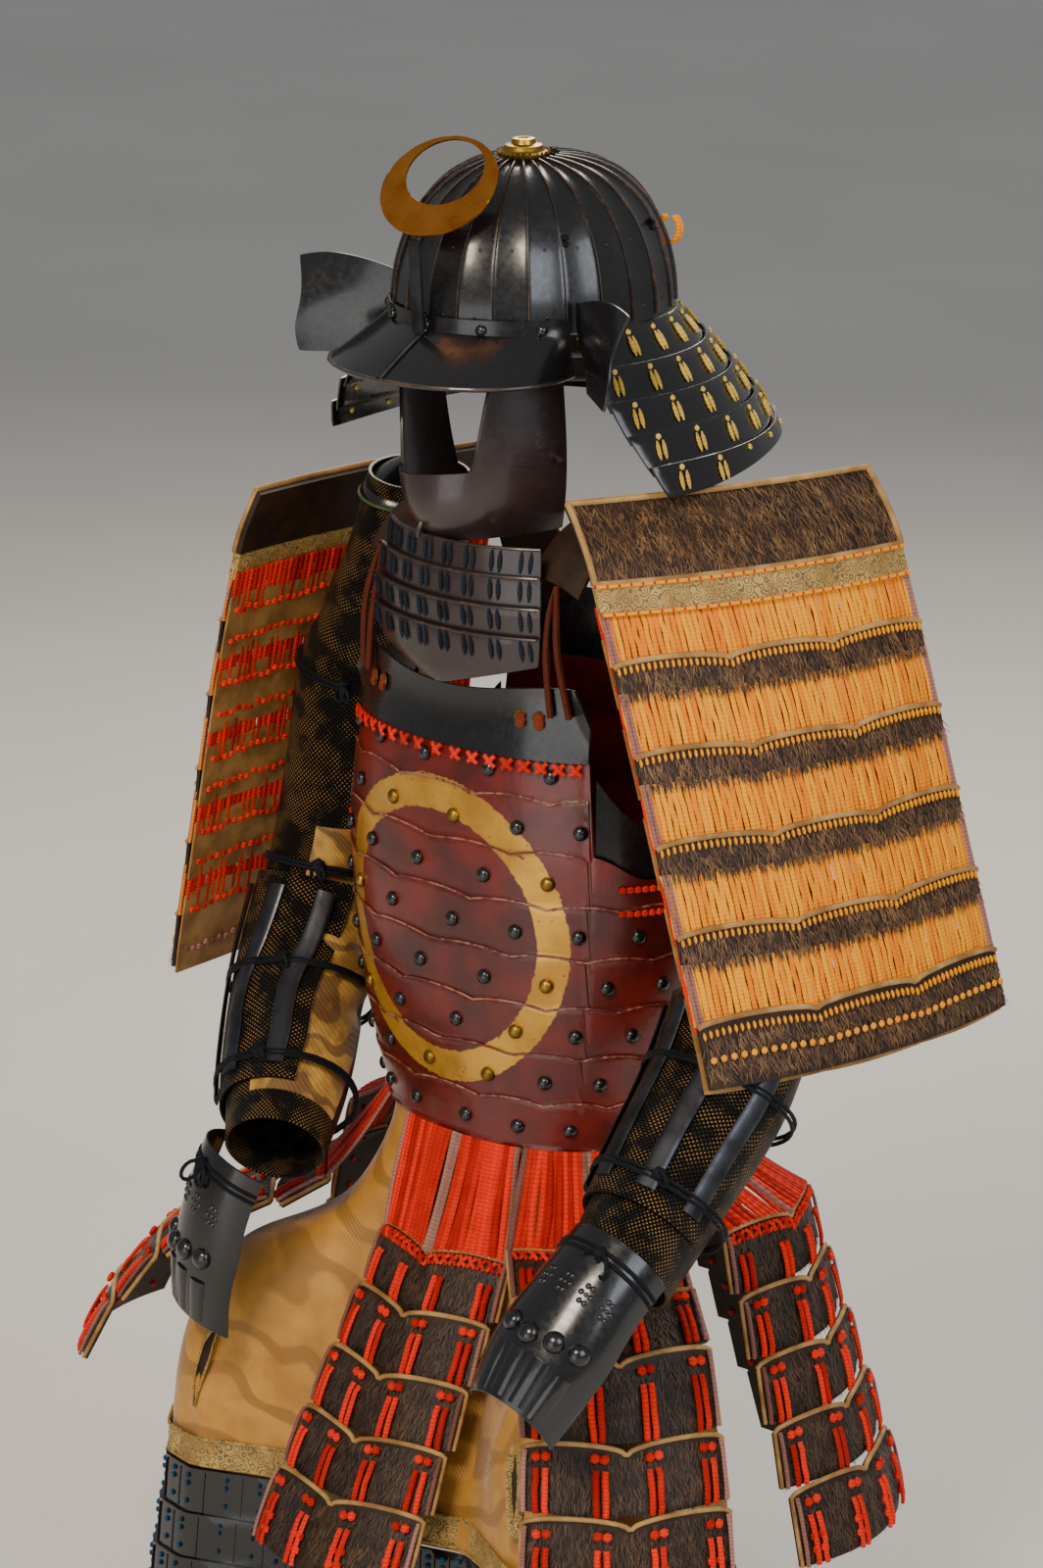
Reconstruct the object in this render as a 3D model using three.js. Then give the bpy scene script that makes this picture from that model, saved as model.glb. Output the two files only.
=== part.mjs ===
// A suit of samurai armour in its seated pose, hollow, as it stands round its wearer.
// Millimetres. +Z is up, the front faces -Y and the wearer's left is +X.
// The origin lies between the shoulder straps, where the wearer's shoulders carry the weight.
import * as THREE from "three";

// Driving dimensions
const WAIST_Z = -500; // lower edge of the cuirass
const FRONT_TOP_Z = -158; // upper edge of the russet plates
const CHEST_TOP_Z = -112; // upper edge of the chest board
const PLATES = { upper: 2, lower: 6 }; // rows of plates between the armholes, and round the waist
const PLATE = 2.4; // lacquered iron and rawhide plate
const BOARD = 3.2; // lacquered board with its leather or fur
const CLOTH = 2.4; // quilted cloth with its lining
const GAP = 0.5; // left between pieces that lie on each other
const SHINGLE = 4.6; // how far the top of a lame stands off the lame above it
const LAP = 9; // how far a lame covers the one above it

// The head looks a little to the wearer's right, and the mask hangs a little askew.
const HEAD = { x: 0, y: -14, turn: 2 };
const MASK_TILT = { turn: -9, angle: -7, z: 45 };
const BOWL = { base: 166, width: 102, length: 118, height: 120, lean: 14, ribs: 24, rib: 2.4, crown: 0.93 };
const VISOR = { half: 61, reach: 54, drop: 32, flange: 12 };

const SIDES = { left: 1, right: -1 };
const rad = THREE.MathUtils.degToRad;
const mix = THREE.MathUtils.lerp;
const vec = (x, y, z) => new THREE.Vector3(x, y, z);
const ease = (t) => THREE.MathUtils.smoothstep(t, 0, 1);
const power = (value, exponent) => Math.sign(value) * Math.abs(value) ** exponent;

// A row of a table at place t, from 0 at its first row to 1 at its last, each column on a smooth curve.
function rowAt(rows, t) {
  const place = THREE.MathUtils.clamp(t, 0, 1) * (rows.length - 1);
  const i = Math.min(Math.floor(place), rows.length - 2);
  const s = place - i;
  const before = rows[Math.max(i - 1, 0)];
  const after = rows[Math.min(i + 2, rows.length - 1)];
  const row = {};
  for (const key of Object.keys(rows[0])) {
    const a = rows[i][key];
    const b = rows[i + 1][key];
    const leave = (b - before[key]) / (i > 0 ? 2 : 1);
    const arrive = (after[key] - a) / (i + 2 < rows.length ? 2 : 1);
    row[key] =
      a * (2 * s ** 3 - 3 * s ** 2 + 1) +
      leave * (s ** 3 - 2 * s ** 2 + s) +
      b * (3 * s ** 2 - 2 * s ** 3) +
      arrive * (s ** 3 - s ** 2);
  }
  return row;
}

// The same table read where its column z, which falls all the way, has a value.
function rowAtHeight(rows, z) {
  let low = 0;
  let high = 1;
  for (let i = 0; i < 24; i++) {
    const middle = (low + high) / 2;
    if (rowAt(rows, middle).z > z) low = middle;
    else high = middle;
  }
  return rowAt(rows, (low + high) / 2);
}

// A closed wall. point(u, v) is on its outer face, seen from which u runs to the right and v down.
// relief(u, v) raises the outer face alone. A closed wall is a tube, whose u = 1 meets u = 0.
// A mirrored wall takes a point function whose u runs to the left.
function wall(point, { across, down, thickness, closed = false, mirrored = false, relief = () => 0 }) {
  const columns = closed ? across : across + 1;
  const index = (i, j) => i * columns + (closed ? (j + columns) % columns : j);
  const place = (n) => {
    const u = (n % columns) / across;
    return { u: mirrored ? 1 - u : u, v: Math.floor(n / columns) / down };
  };
  const base = Array.from({ length: columns * (down + 1) }, (_, n) => point(place(n).u, place(n).v));
  const normals = base.map((_, n) => {
    const i = Math.floor(n / columns);
    const j = n % columns;
    const left = closed || j > 0 ? j - 1 : j;
    const right = closed || j < columns - 1 ? j + 1 : j;
    const along = base[index(i, right)].clone().sub(base[index(i, left)]);
    const below = base[index(Math.min(i + 1, down), j)].clone();
    return below.sub(base[index(Math.max(i - 1, 0), j)]).cross(along).normalize();
  });
  const outer = base.map((p, n) => p.clone().addScaledVector(normals[n], relief(place(n).u, place(n).v)));
  const inner = base.map((p, n) => p.clone().addScaledVector(normals[n], -thickness));
  const faces = [];
  const deep = base.length;
  const quad = (a, b, c, d) => faces.push(a, b, c, a, c, d);
  for (let i = 0; i < down; i++) {
    for (let j = 0; j < across; j++) {
      const [a, b, c, d] = [index(i, j), index(i + 1, j), index(i + 1, j + 1), index(i, j + 1)];
      quad(a, b, c, d);
      quad(deep + d, deep + c, deep + b, deep + a);
    }
  }
  for (let j = 0; j < across; j++) {
    const [a, b, c, d] = [index(0, j), index(0, j + 1), index(down, j), index(down, j + 1)];
    quad(a, b, deep + b, deep + a);
    quad(d, c, deep + c, deep + d);
  }
  for (let i = 0; i < down && !closed; i++) {
    const [a, b, c, d] = [index(i, 0), index(i + 1, 0), index(i, across), index(i + 1, across)];
    quad(b, a, deep + a, deep + b);
    quad(c, d, deep + d, deep + c);
  }
  const geometry = new THREE.BufferGeometry();
  const positions = [...outer, ...inner].flatMap((p) => p.toArray());
  geometry.setAttribute("position", new THREE.Float32BufferAttribute(positions, 3));
  geometry.setIndex(faces);
  geometry.computeVertexNormals();
  return geometry;
}

const finish = (color, roughness, metalness = 0) =>
  new THREE.MeshStandardMaterial({ color, roughness, metalness });
const MATERIALS = {
  blackLacquer: finish("#1c1a1a", 0.35),
  russetLacquer: finish("#6e2219", 0.45),
  brownLacquer: finish("#3a2a28", 0.45),
  gilt: finish("#a8863a", 0.4, 0.9),
  copper: finish("#c4751f", 0.4, 0.9),
  fur: finish("#6b5138", 0.95),
  leather: finish("#b08a4e", 0.8),
  orangeLace: finish("#f0993a", 0.85),
  redLace: finish("#e8371f", 0.85),
  brocade: finish("#c79545", 0.85),
  mail: finish("#2c2620", 0.6, 0.4),
  cord: finish("#8a3a22", 0.8),
};

const armour = new THREE.Group();
const head = new THREE.Group();
head.position.set(HEAD.x, HEAD.y, 0);
head.rotation.z = rad(HEAD.turn);
const face = new THREE.Group();
face.position.set(0, 0, MASK_TILT.z);
face.rotation.set(0, rad(MASK_TILT.angle), rad(MASK_TILT.turn));
head.add(face);
armour.add(head);

function add(name, geometry, material, group = armour) {
  const mesh = new THREE.Mesh(geometry, MATERIALS[material]);
  mesh.name = name;
  group.add(mesh);
  return mesh;
}

// A scalloped upper edge: 1 on the humps and 0 in the notches between them.
const scallop = (u, humps) => Math.abs(Math.sin(Math.PI * u * humps)) ** 0.5;

// The trunk of the cuirass, ring by ring. bearing is 0 in front and grows towards the wearer's left.
const TRUNK = [
  { z: -60, width: 146, depth: 92, y: 8 },
  { z: -112, width: 156, depth: 108, y: 5 },
  { z: -170, width: 166, depth: 120, y: 2 },
  { z: -240, width: 173, depth: 127, y: 0 },
  { z: -310, width: 172, depth: 128, y: 0 },
  { z: -380, width: 165, depth: 124, y: 0 },
  { z: -445, width: 152, depth: 116, y: 0 },
  { z: -500, width: 138, depth: 106, y: 0 },
  { z: -540, width: 134, depth: 102, y: 0 },
];
const TRUNK_SQUARE = 0.9;
function trunkPoint(bearing, z, out = 0) {
  const ring = rowAtHeight(TRUNK, z);
  const x = (ring.width + out) * power(Math.sin(bearing), TRUNK_SQUARE);
  return vec(x, ring.y - (ring.depth + out) * power(Math.cos(bearing), TRUNK_SQUARE), z);
}

// A stack of plates, each of which laps a little over the one above it.
// Rows 2k and 2k + 1 of the wall are the upper and lower edge of plate k.
const PLATE_STEP = 1.4;
const PLATE_PITCH = (FRONT_TOP_Z - WAIST_Z) / (PLATES.upper + PLATES.lower);
const ARMHOLE_Z = FRONT_TOP_Z - PLATE_PITCH * PLATES.upper;
function plateStack(middle, half, top, plates, dip = 0) {
  const rows = 2 * plates - 1;
  const point = (u, v) => {
    const row = Math.round(v * rows);
    const lower = row % 2;
    const bearing = (2 * u - 1) * half;
    const lap = lower && row < rows ? 1.2 : 0;
    const hollow = row === 0 ? dip * ease((Math.abs(bearing) - 50) / 20) : 0;
    const z = top - PLATE_PITCH * ((row - lower) / 2 + lower) + lap - hollow;
    return trunkPoint(rad(middle + bearing), z);
  };
  const relief = (u, v) => (Math.round(v * rows) % 2 || v === 0 ? 0 : PLATE_STEP);
  return { point, shape: { relief, down: rows, thickness: PLATE } };
}

// The two plates of the cuirass that lie under the arms are parted by a gap at each side.
const SHELLS = [
  { name: "front_upper_plates", middle: 0, half: 49, top: FRONT_TOP_Z, plates: PLATES.upper, across: 9 },
  { name: "front_plates", middle: 0, half: 89, top: ARMHOLE_Z - GAP, plates: PLATES.lower, across: 16 },
  { name: "back_upper_plates", middle: 180, half: 49, top: FRONT_TOP_Z, plates: PLATES.upper, across: 9 },
  { name: "back_plates", middle: 180, half: 90, top: ARMHOLE_Z - GAP, plates: PLATES.lower, across: 14 },
];
function cuirass() {
  for (const { name, middle, half, top, plates, across } of SHELLS) {
    const { point, shape } = plateStack(middle, half, top, plates, 20);
    add(name, wall(point, { ...shape, across }), "russetLacquer");
  }

  // The chest board and the back board stand outside the plates, and their upper edges roll outwards.
  const boardOut = (v) => PLATE + GAP + 0.4 + 9 * (1 - v) ** 3;
  const board = (name, middle, half, top) => {
    const point = (u, v) => {
      const side = Math.abs(2 * u - 1);
      const edge = top(side) - 30 * Math.max(0, (side - 0.84) / 0.16) ** 2;
      return trunkPoint(rad(middle + (2 * u - 1) * half), mix(edge, FRONT_TOP_Z - 12, v), boardOut(v));
    };
    add(name, wall(point, { across: 16, down: 3, thickness: PLATE }), "blackLacquer");
  };
  board("chest_board", 0, 48, (side) => mix(CHEST_TOP_Z - 9, CHEST_TOP_Z + 2, ease(side * 1.2)));
  board("back_board", 180, 48, () => CHEST_TOP_Z + 14);

  // Under each arm a board stands inside the plates, its upper edge hollowed for the arm.
  for (const [side, sign] of Object.entries(SIDES)) {
    const under = (u, v) => {
      const hollow = Math.sin(Math.PI * u) ** 0.7;
      const top = mix(-182, ARMHOLE_Z + 6, hollow);
      return trunkPoint(sign * rad(mix(51, 129, u)), mix(top, -286, v), -PLATE - 1.6);
    };
    const shape = { across: 10, down: 2, thickness: PLATE, mirrored: sign < 0 };
    add(`underarm_board_${side}`, wall(under, shape), "blackLacquer");
  }
}

// Each shoulder strap runs from the back board over the shoulder and stops above the chest board.
const STRAP = [
  { y: -84, z: -30, x: 93, skew: 0 },
  { y: -62, z: -4, x: 92, skew: 0 },
  { y: -22, z: 12, x: 92, skew: 0 },
  { y: 30, z: 8, x: 94, skew: 2 },
  { y: 70, z: -28, x: 95, skew: 8 },
  { y: 97.4, z: -104, x: 95, skew: 13 },
];
const STRAP_HALF = 25;
const strapPoint = (u, v, sign, out = 0) => {
  const row = rowAt(STRAP, v);
  const side = 2 * u - 1;
  const x = row.x + side * STRAP_HALF;
  return vec(sign * x, row.y - row.skew * side, row.z - 4 * side ** 2 - 5 * side + out);
};
function shoulders() {
  for (const [side, sign] of Object.entries(SIDES)) {
    const over = (u, v) => strapPoint(1 - u, v, sign);
    const shape = { across: 3, down: 10, thickness: 4.5, mirrored: sign < 0 };
    add(`shoulder_strap_${side}`, wall(over, shape), "blackLacquer");
  }
}

function tube(points, radius, sides, steps) {
  const ring = new THREE.Shape();
  ring.absarc(0, 0, radius, 0, 2 * Math.PI);
  const path = new THREE.CatmullRomCurve3(points);
  return new THREE.ExtrudeGeometry(ring, {
    extrudePath: path,
    steps,
    curveSegments: sides / 2,
    bevelEnabled: false,
  });
}

// A doubled cord ties each strap's front end down to the two holes in the chest board.
const TIE = { radius: 3, spread: 4, from: 35, to: 41, sides: 6, steps: 14 };
function chestTies() {
  for (const [side, sign] of Object.entries(SIDES)) {
    const hole = (bearing) => trunkPoint(sign * rad(bearing), CHEST_TOP_Z - 22, 10);
    const knot = vec(sign * 101, -99, -66);
    const toggle = vec(sign * 98, -87.6, -37);
    const between = (a, b, t) => a.clone().lerp(b, t);
    const spread = vec(sign * TIE.spread, 0, 0);
    const points = [
      hole(TIE.from),
      between(hole(TIE.from), knot, 0.8).sub(spread),
      between(knot, toggle, 0.5).sub(spread),
      toggle.clone().add(vec(0, 0, 7)),
      between(knot, toggle, 0.5).add(spread),
      between(hole(TIE.to), knot, 0.8).add(spread),
      hole(TIE.to),
    ];
    add(`chest_tie_${side}`, tube(points, TIE.radius, TIE.sides, TIE.steps), "cord");
  }
}

// The ribbed bowl. rise is 0 at its base and 1 at the crown.
function bowlPoint(bearing, rise, out = 0) {
  const angle = (rise * Math.PI) / 2;
  const fullness = mix(0.62, 0.9, (1 + Math.cos(bearing)) / 2);
  const ring = Math.cos(angle) ** fullness;
  return vec(
    (BOWL.width + out) * ring * Math.sin(bearing),
    -(BOWL.length + out) * ring * Math.cos(bearing) - BOWL.lean * rise ** 2,
    BOWL.base + (BOWL.height + out) * Math.sin(angle) ** 0.95,
  );
}

function helmet() {
  const bowl = (u, v) => bowlPoint(2 * Math.PI * u, BOWL.crown * (1 - v));
  const rib = (u) => (Math.round(u * 2 * BOWL.ribs) % 2 ? 0 : BOWL.rib);
  const shape = { across: 2 * BOWL.ribs, down: 6, thickness: PLATE, closed: true, relief: rib };
  add("helmet_bowl", wall(bowl, shape), "blackLacquer", head);

  const crownTop = BOWL.base + BOWL.height;
  const profile = [
    [0, 1], [20, -1.5], [21, 1], [17, 3], [15, 7], [10, 8], [9, 12], [5, 12.5], [4, 6], [0, 6],
  ].map(([x, y]) => new THREE.Vector2(x, y));
  const crown = new THREE.LatheGeometry(profile, 20);
  crown.rotateX(Math.PI / 2).translate(0, -BOWL.lean * BOWL.crown ** 2, crownTop + BOWL.rib + 2 * GAP);
  add("crown_fitting", crown, "gilt", head);

  // The visor: a flange outside the bowl's base, then the brim.
  const visor = (u, v) => {
    const side = 2 * u - 1;
    const bearing = rad(side * VISOR.half);
    const out = VISOR.reach * (1 - Math.abs(side) ** 4 * 0.86) * Math.max(0, (v - 0.25) / 0.75);
    const fall = v < 0.25 ? mix(VISOR.flange, 0, v / 0.25) : -VISOR.drop * ((v - 0.25) / 0.75) ** 1.1;
    const base = bowlPoint(bearing, 0, BOWL.rib + PLATE + GAP + out);
    return vec(base.x, base.y, BOWL.base + fall);
  };
  add("visor", wall(visor, { across: 16, down: 4, thickness: PLATE }), "blackLacquer", head);
}

// The neck guard flares out from the bowl's base. front is the bearing of its front ends.
const NECK = [
  { z: 166, width: 99.9, length: 116.3, front: 64 },
  { z: 134, width: 128, length: 152, front: 67 },
  { z: 98, width: 156, length: 186, front: 71 },
  { z: 66, width: 177, length: 210, front: 76 },
  { z: 30, width: 190, length: 226, front: 81 },
];
const NECK_LAMES = [166, 142, 119, 96, 73, 54];
const NECK_SHINGLE = 6.4;
// The front end of the top lame, from which the turned-back wings spring.
function neckFront(z) {
  const row = rowAtHeight(NECK, z);
  const out = (NECK_SHINGLE * (z - NECK_LAMES[1])) / (NECK_LAMES[0] - NECK_LAMES[1]);
  const bearing = rad(row.front);
  return vec((row.width + out) * Math.sin(bearing) - 0.6, -(row.length + out) * Math.cos(bearing) - 2.1, z);
}
function neckGuard() {
  NECK_LAMES.slice(0, -1).forEach((top, k) => {
    const lowest = k === NECK_LAMES.length - 2;
    const lame = (u, v) => {
      const dip = lowest ? 6 * Math.cos(4 * Math.PI * u) : 0;
      const bottom = NECK_LAMES[k + 1] - (lowest ? dip : LAP);
      const z = mix(top, bottom, v);
      const row = rowAtHeight(NECK, z);
      const bearing = rad(mix(row.front, 360 - row.front, u));
      const out = NECK_SHINGLE * (lowest ? 0.92 - 0.4 * v : 1 - v);
      return vec((row.width + out) * Math.sin(bearing), -(row.length + out) * Math.cos(bearing), z);
    };
    add(`neck_lame_${k + 1}`, wall(lame, { across: 18, down: 1, thickness: PLATE }), "blackLacquer", head);
  });

  // The turned-back wings stand out beside the visor.
  for (const [side, sign] of Object.entries(SIDES)) {
    const wing = (u, v) => {
      const reach = 92 * u * (1 - 0.28 * v);
      const lean = 26 * (1 - v) ** 1.5 * u;
      const top = 204 - 14 * (1 - u) ** 2 - 8 * u ** 4;
      const z = mix(top, 122, v);
      const root = neckFront(THREE.MathUtils.clamp(z, NECK_LAMES[1], NECK_LAMES[0]));
      return vec(sign * (root.x + 0.8 * reach + lean * 0.3), root.y - 0.6 * reach + lean, z);
    };
    const shape = { across: 5, down: 4, thickness: PLATE, mirrored: sign < 0 };
    add(`turned_wing_${side}`, wall(wing, shape), "blackLacquer", head);
  }
}

// The crest is a disc with an off-centre hole, which leans back on a prong above the visor.
const CREST = { radius: 50, hole: 33.5, rise: 13, thick: 2, lean: 44, y: -101, z: 274.4 };
function crest() {
  const outline = new THREE.Shape();
  outline.absellipse(0, 0, CREST.radius, CREST.radius * 0.94, 0, 2 * Math.PI);
  const hole = new THREE.Path();
  hole.absellipse(0, CREST.rise, CREST.hole, CREST.hole * 0.92, 0, 2 * Math.PI, true);
  outline.holes.push(hole);
  const disc = new THREE.ExtrudeGeometry(outline, {
    depth: CREST.thick,
    bevelEnabled: false,
    curveSegments: 16,
  });
  disc.translate(0, 0, -CREST.thick / 2).rotateX(Math.PI / 2 - rad(CREST.lean)).rotateZ(rad(12));
  disc.translate(-6, CREST.y, CREST.z);
  add("crest", disc, "copper", head);

  const prong = new THREE.BoxGeometry(12, 3, 77);
  prong.rotateX(rad(3)).translate(0, -133, 201.1);
  add("crest_prong", prong, "blackLacquer", head);
}

// The half mask: chin and cheeks, with an open front above the chin.
const MASK = [
  { z: 126, width: 80, depth: 98, y: -14 },
  { z: 92, width: 79, depth: 103, y: -14 },
  { z: 56, width: 76, depth: 107, y: -13 },
  { z: 24, width: 69, depth: 108, y: -12 },
  { z: 2, width: 60, depth: 99, y: -10 },
  { z: -9, width: 50, depth: 84, y: -8 },
];
const MASK_EDGE = { half: 84, mouth: 38, corner: 10, lip: 50, cheek: 124, chin: -6.6 };
function mask() {
  const point = (u, v) => {
    const bearing = (2 * u - 1) * MASK_EDGE.half;
    const cheek = ease((Math.abs(bearing) - MASK_EDGE.mouth) / MASK_EDGE.corner);
    const z = mix(mix(MASK_EDGE.lip, MASK_EDGE.cheek, cheek), MASK_EDGE.chin, v);
    const row = rowAtHeight(MASK, z);
    return vec(
      row.width * Math.sin(rad(bearing)),
      row.y - row.depth * Math.cos(rad(bearing)),
      z - MASK_TILT.z,
    );
  };
  add("face_mask", wall(point, { across: 22, down: 5, thickness: PLATE }), "blackLacquer", face);
}

// The throat guard hangs below the mask. half is its half width, front and end its middle and end depth.
const THROAT = [
  { z: 2, half: 80, front: -116, end: -86 },
  { z: -26, half: 86, front: -121, end: -93 },
  { z: -50, half: 90, front: -124, end: -96 },
  { z: -74, half: 91, front: -122.6, end: -97 },
  { z: -120, half: 88, front: -119.2, end: -98 },
];
const THROAT_LAMES = [-2.4, -24, -48, -72, -96];
function throatGuard() {
  THROAT_LAMES.slice(0, -1).forEach((top, k) => {
    const lowest = k === THROAT_LAMES.length - 2;
    const lame = (u, v) => {
      const side = 2 * u - 1;
      const point = lowest ? 25 * (1 - Math.abs(side)) : LAP;
      const z = mix(top, THROAT_LAMES[k + 1] - point, v);
      const row = rowAtHeight(THROAT, z);
      const out = (lowest ? 3.5 : 3.9) * (1 - v);
      return vec((row.half + out) * side, mix(row.front, row.end, Math.abs(side) ** 2.2) - out - 0.6 * k, z);
    };
    add(`throat_lame_${k + 1}`, wall(lame, { across: 14, down: 1, thickness: PLATE }), "brownLacquer");
  });
}

// A shoulder guard. Each row has its front and rear corner and how far its middle bows outwards.
const SHOULDER_GUARDS = {
  left: [
    { z: 46, fx: 150, fy: -120, rx: 230, ry: 137, bow: 10 },
    { z: -8, fx: 172, fy: -126, rx: 250, ry: 140, bow: 16 },
    { z: -104, fx: 208, fy: -128, rx: 276, ry: 148, bow: 20 },
    { z: -240, fx: 256, fy: -130, rx: 304, ry: 165, bow: 22 },
    { z: -384, fx: 302, fy: -128, rx: 330, ry: 188, bow: 22 },
  ],
  right: [
    { z: 0, fx: -208, fy: -124, rx: -196, ry: 140, bow: 10 },
    { z: -56, fx: -226, fy: -128, rx: -206, ry: 142, bow: 16 },
    { z: -152, fx: -250, fy: -132, rx: -228, ry: 146, bow: 20 },
    { z: -286, fx: -276, fy: -136, rx: -254, ry: 152, bow: 22 },
    { z: -424, fx: -302, fy: -140, rx: -280, ry: 160, bow: 22 },
  ],
};
const GUARD = { lean: { left: 20, right: 6 }, crown: 54, band: 22, lames: 5, humps: 3, hump: 6 };
function guardPoint(side, u, z, out = 0) {
  const row = rowAtHeight(SHOULDER_GUARDS[side], z);
  const across = vec(row.rx - row.fx, row.ry - row.fy, 0);
  const normal = vec(across.y, -across.x, 0).normalize().multiplyScalar(SIDES[side]);
  const place = vec(mix(row.fx, row.rx, u), mix(row.fy, row.ry, u), z);
  return place.addScaledVector(normal, row.bow * 4 * u * (1 - u) + out);
}
function shoulderGuards() {
  for (const [side, sign] of Object.entries(SIDES)) {
    const rows = SHOULDER_GUARDS[side];
    const top = rows[0].z;
    const bottom = rows[rows.length - 1].z;
    const shape = { across: 10, down: 1, thickness: BOARD, mirrored: sign < 0 };
    const crown = (u, v) => guardPoint(side, u, mix(top, top - GUARD.crown, v), 5 - GUARD.lean[side] * (1 - v) ** 2);
    add(`guard_crown_${side}`, wall(crown, { ...shape, down: 3, thickness: 6 }), "fur");
    const bandTop = top - GUARD.crown - 2 * GAP;
    const band = (u, v) => guardPoint(side, u, mix(bandTop, bandTop - GUARD.band, v), 6);
    add(`guard_band_${side}`, wall(band, { ...shape, thickness: 7 }), "leather");
    const first = bandTop - GUARD.band - 2 * GAP;
    const pitch = (first - bottom) / GUARD.lames;
    for (let k = 0; k < GUARD.lames; k++) {
      const lame = (u, v) => {
        const hump = k ? GUARD.hump * scallop(u, GUARD.humps) - GUARD.hump : 0;
        const lap = k ? LAP : 0;
        const low = first - pitch * (k + 1);
        return guardPoint(side, u, mix(first - pitch * k + lap + hump, low, v), SHINGLE * (1 - v));
      };
      const columns = k ? 12 : 8;
      add(`guard_lame_${side}_${k + 1}`, wall(lame, { ...shape, across: columns }), "orangeLace");
    }
  }
}

// The sleeves, ring by ring along the arm: centre, half width across the arm and half depth.
const SLEEVES = {
  left: [
    { x: 151.4, y: 8, z: 12, wide: 36, deep: 48 },
    { x: 184, y: 8, z: -76, wide: 46, deep: 58 },
    { x: 212, y: 8, z: -150, wide: 48, deep: 60 },
    { x: 230, y: 2, z: -240, wide: 48, deep: 56 },
    { x: 244.4, y: -14, z: -330, wide: 52, deep: 56 },
    { x: 258.4, y: -62, z: -404, wide: 54, deep: 56 },
    { x: 270, y: -132, z: -462, wide: 48, deep: 52 },
    { x: 280, y: -204, z: -520, wide: 42, deep: 46 },
  ],
  right: [
    { x: -153, y: 8, z: 3, wide: 36, deep: 48 },
    { x: -172, y: 6, z: -76, wide: 42, deep: 56 },
    { x: -215, y: -4, z: -164, wide: 42, deep: 54 },
    { x: -223, y: -16, z: -257, wide: 44, deep: 52 },
    { x: -227, y: -30, z: -340, wide: 48, deep: 52 },
    { x: -208, y: -76, z: -424, wide: 52, deep: 54 },
    { x: -165, y: -134, z: -482, wide: 50, deep: 52 },
    { x: -123, y: -190, z: -526, wide: 40, deep: 42 },
  ],
};
// The ring of a sleeve at place t. Its bearing is 0 in front and grows towards the wearer's left.
function sleeveFrame(side, t) {
  const step = 0.02;
  const row = rowAt(SLEEVES[side], t);
  const ahead = rowAt(SLEEVES[side], Math.min(t + step, 1));
  const behind = rowAt(SLEEVES[side], Math.max(t - step, 0));
  const along = vec(ahead.x - behind.x, ahead.y - behind.y, ahead.z - behind.z).normalize();
  const across = vec(0, -1, 0).cross(along).negate().normalize();
  const front = along.clone().cross(across).negate().normalize();
  if (front.y > 0) front.negate();
  if (across.x < 0) across.negate();
  return { row, centre: vec(row.x, row.y, row.z), across, front, along };
}
function sleevePoint(side, bearing, t, out = 0) {
  const { row, centre, across, front } = sleeveFrame(side, t);
  return centre
    .addScaledVector(across, (row.wide + out) * Math.sin(bearing))
    .addScaledVector(front, (row.deep + out) * Math.cos(bearing));
}
const SPLINTS = { start: { left: 0.62, right: 0.6 }, end: 0.94, from: -75, to: 100, bars: 4, raise: 2.4 };
function sleeves() {
  for (const [side, sign] of Object.entries(SIDES)) {
    const skin = (u, v) => sleevePoint(side, 2 * Math.PI * u, v);
    add(`sleeve_${side}`, wall(skin, { across: 12, down: 11, thickness: CLOTH, closed: true }), "brocade");
    // The forearm guard: splints on mail, over the outer half of the forearm.
    const guard = (u, v) => {
      const bearing = sign * rad(mix(SPLINTS.from, SPLINTS.to, u));
      return sleevePoint(side, bearing, mix(SPLINTS.start[side], SPLINTS.end, v), 4.4 + GAP);
    };
    const bars = 2 * SPLINTS.bars;
    const raise = (u) => (Math.round(u * bars) % 2 ? SPLINTS.raise : 0);
    const shape = { across: bars, down: 5, thickness: 2, mirrored: sign < 0, relief: raise };
    add(`forearm_splints_${side}`, wall(guard, shape), "mail");
  }
}

// The hand guards arch over the back of the hand. roll turns the plate about the hand's own line.
const HANDS = {
  left: { start: vec(280, -199, -516), end: vec(272, -318, -596), up: vec(0.35, -0.5, 0.78) },
  right: { start: vec(-126.7, -202, -535.7), end: vec(-172, -250, -660), up: vec(-0.25, -0.8, 0.5) },
};
const HAND = [
  { half: 44.4, height: 48.2 },
  { half: 44, height: 44 },
  { half: 48, height: 35 },
  { half: 47, height: 24 },
  { half: 40, height: 4 },
];
function handGuards() {
  for (const side of Object.keys(SIDES)) {
    const hand = HANDS[side];
    const line = hand.end.clone().sub(hand.start);
    const along = line.clone().normalize();
    const across = along.clone().cross(hand.up).normalize();
    const up = across.clone().cross(along).normalize();
    const plate = (u, v) => {
      const angle = rad(mix(-80, 80, u));
      const row = rowAt(HAND, v);
      return hand.start
        .clone()
        .addScaledVector(line, v)
        .addScaledVector(across, -row.half * Math.sin(angle))
        .addScaledVector(up, row.height - 40 * (1 - Math.cos(angle)));
    };
    const shape = { across: 10, down: 6, thickness: PLATE, mirrored: true };
    add(`hand_guard_${side}`, wall(plate, shape), "blackLacquer");
  }
}

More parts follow.
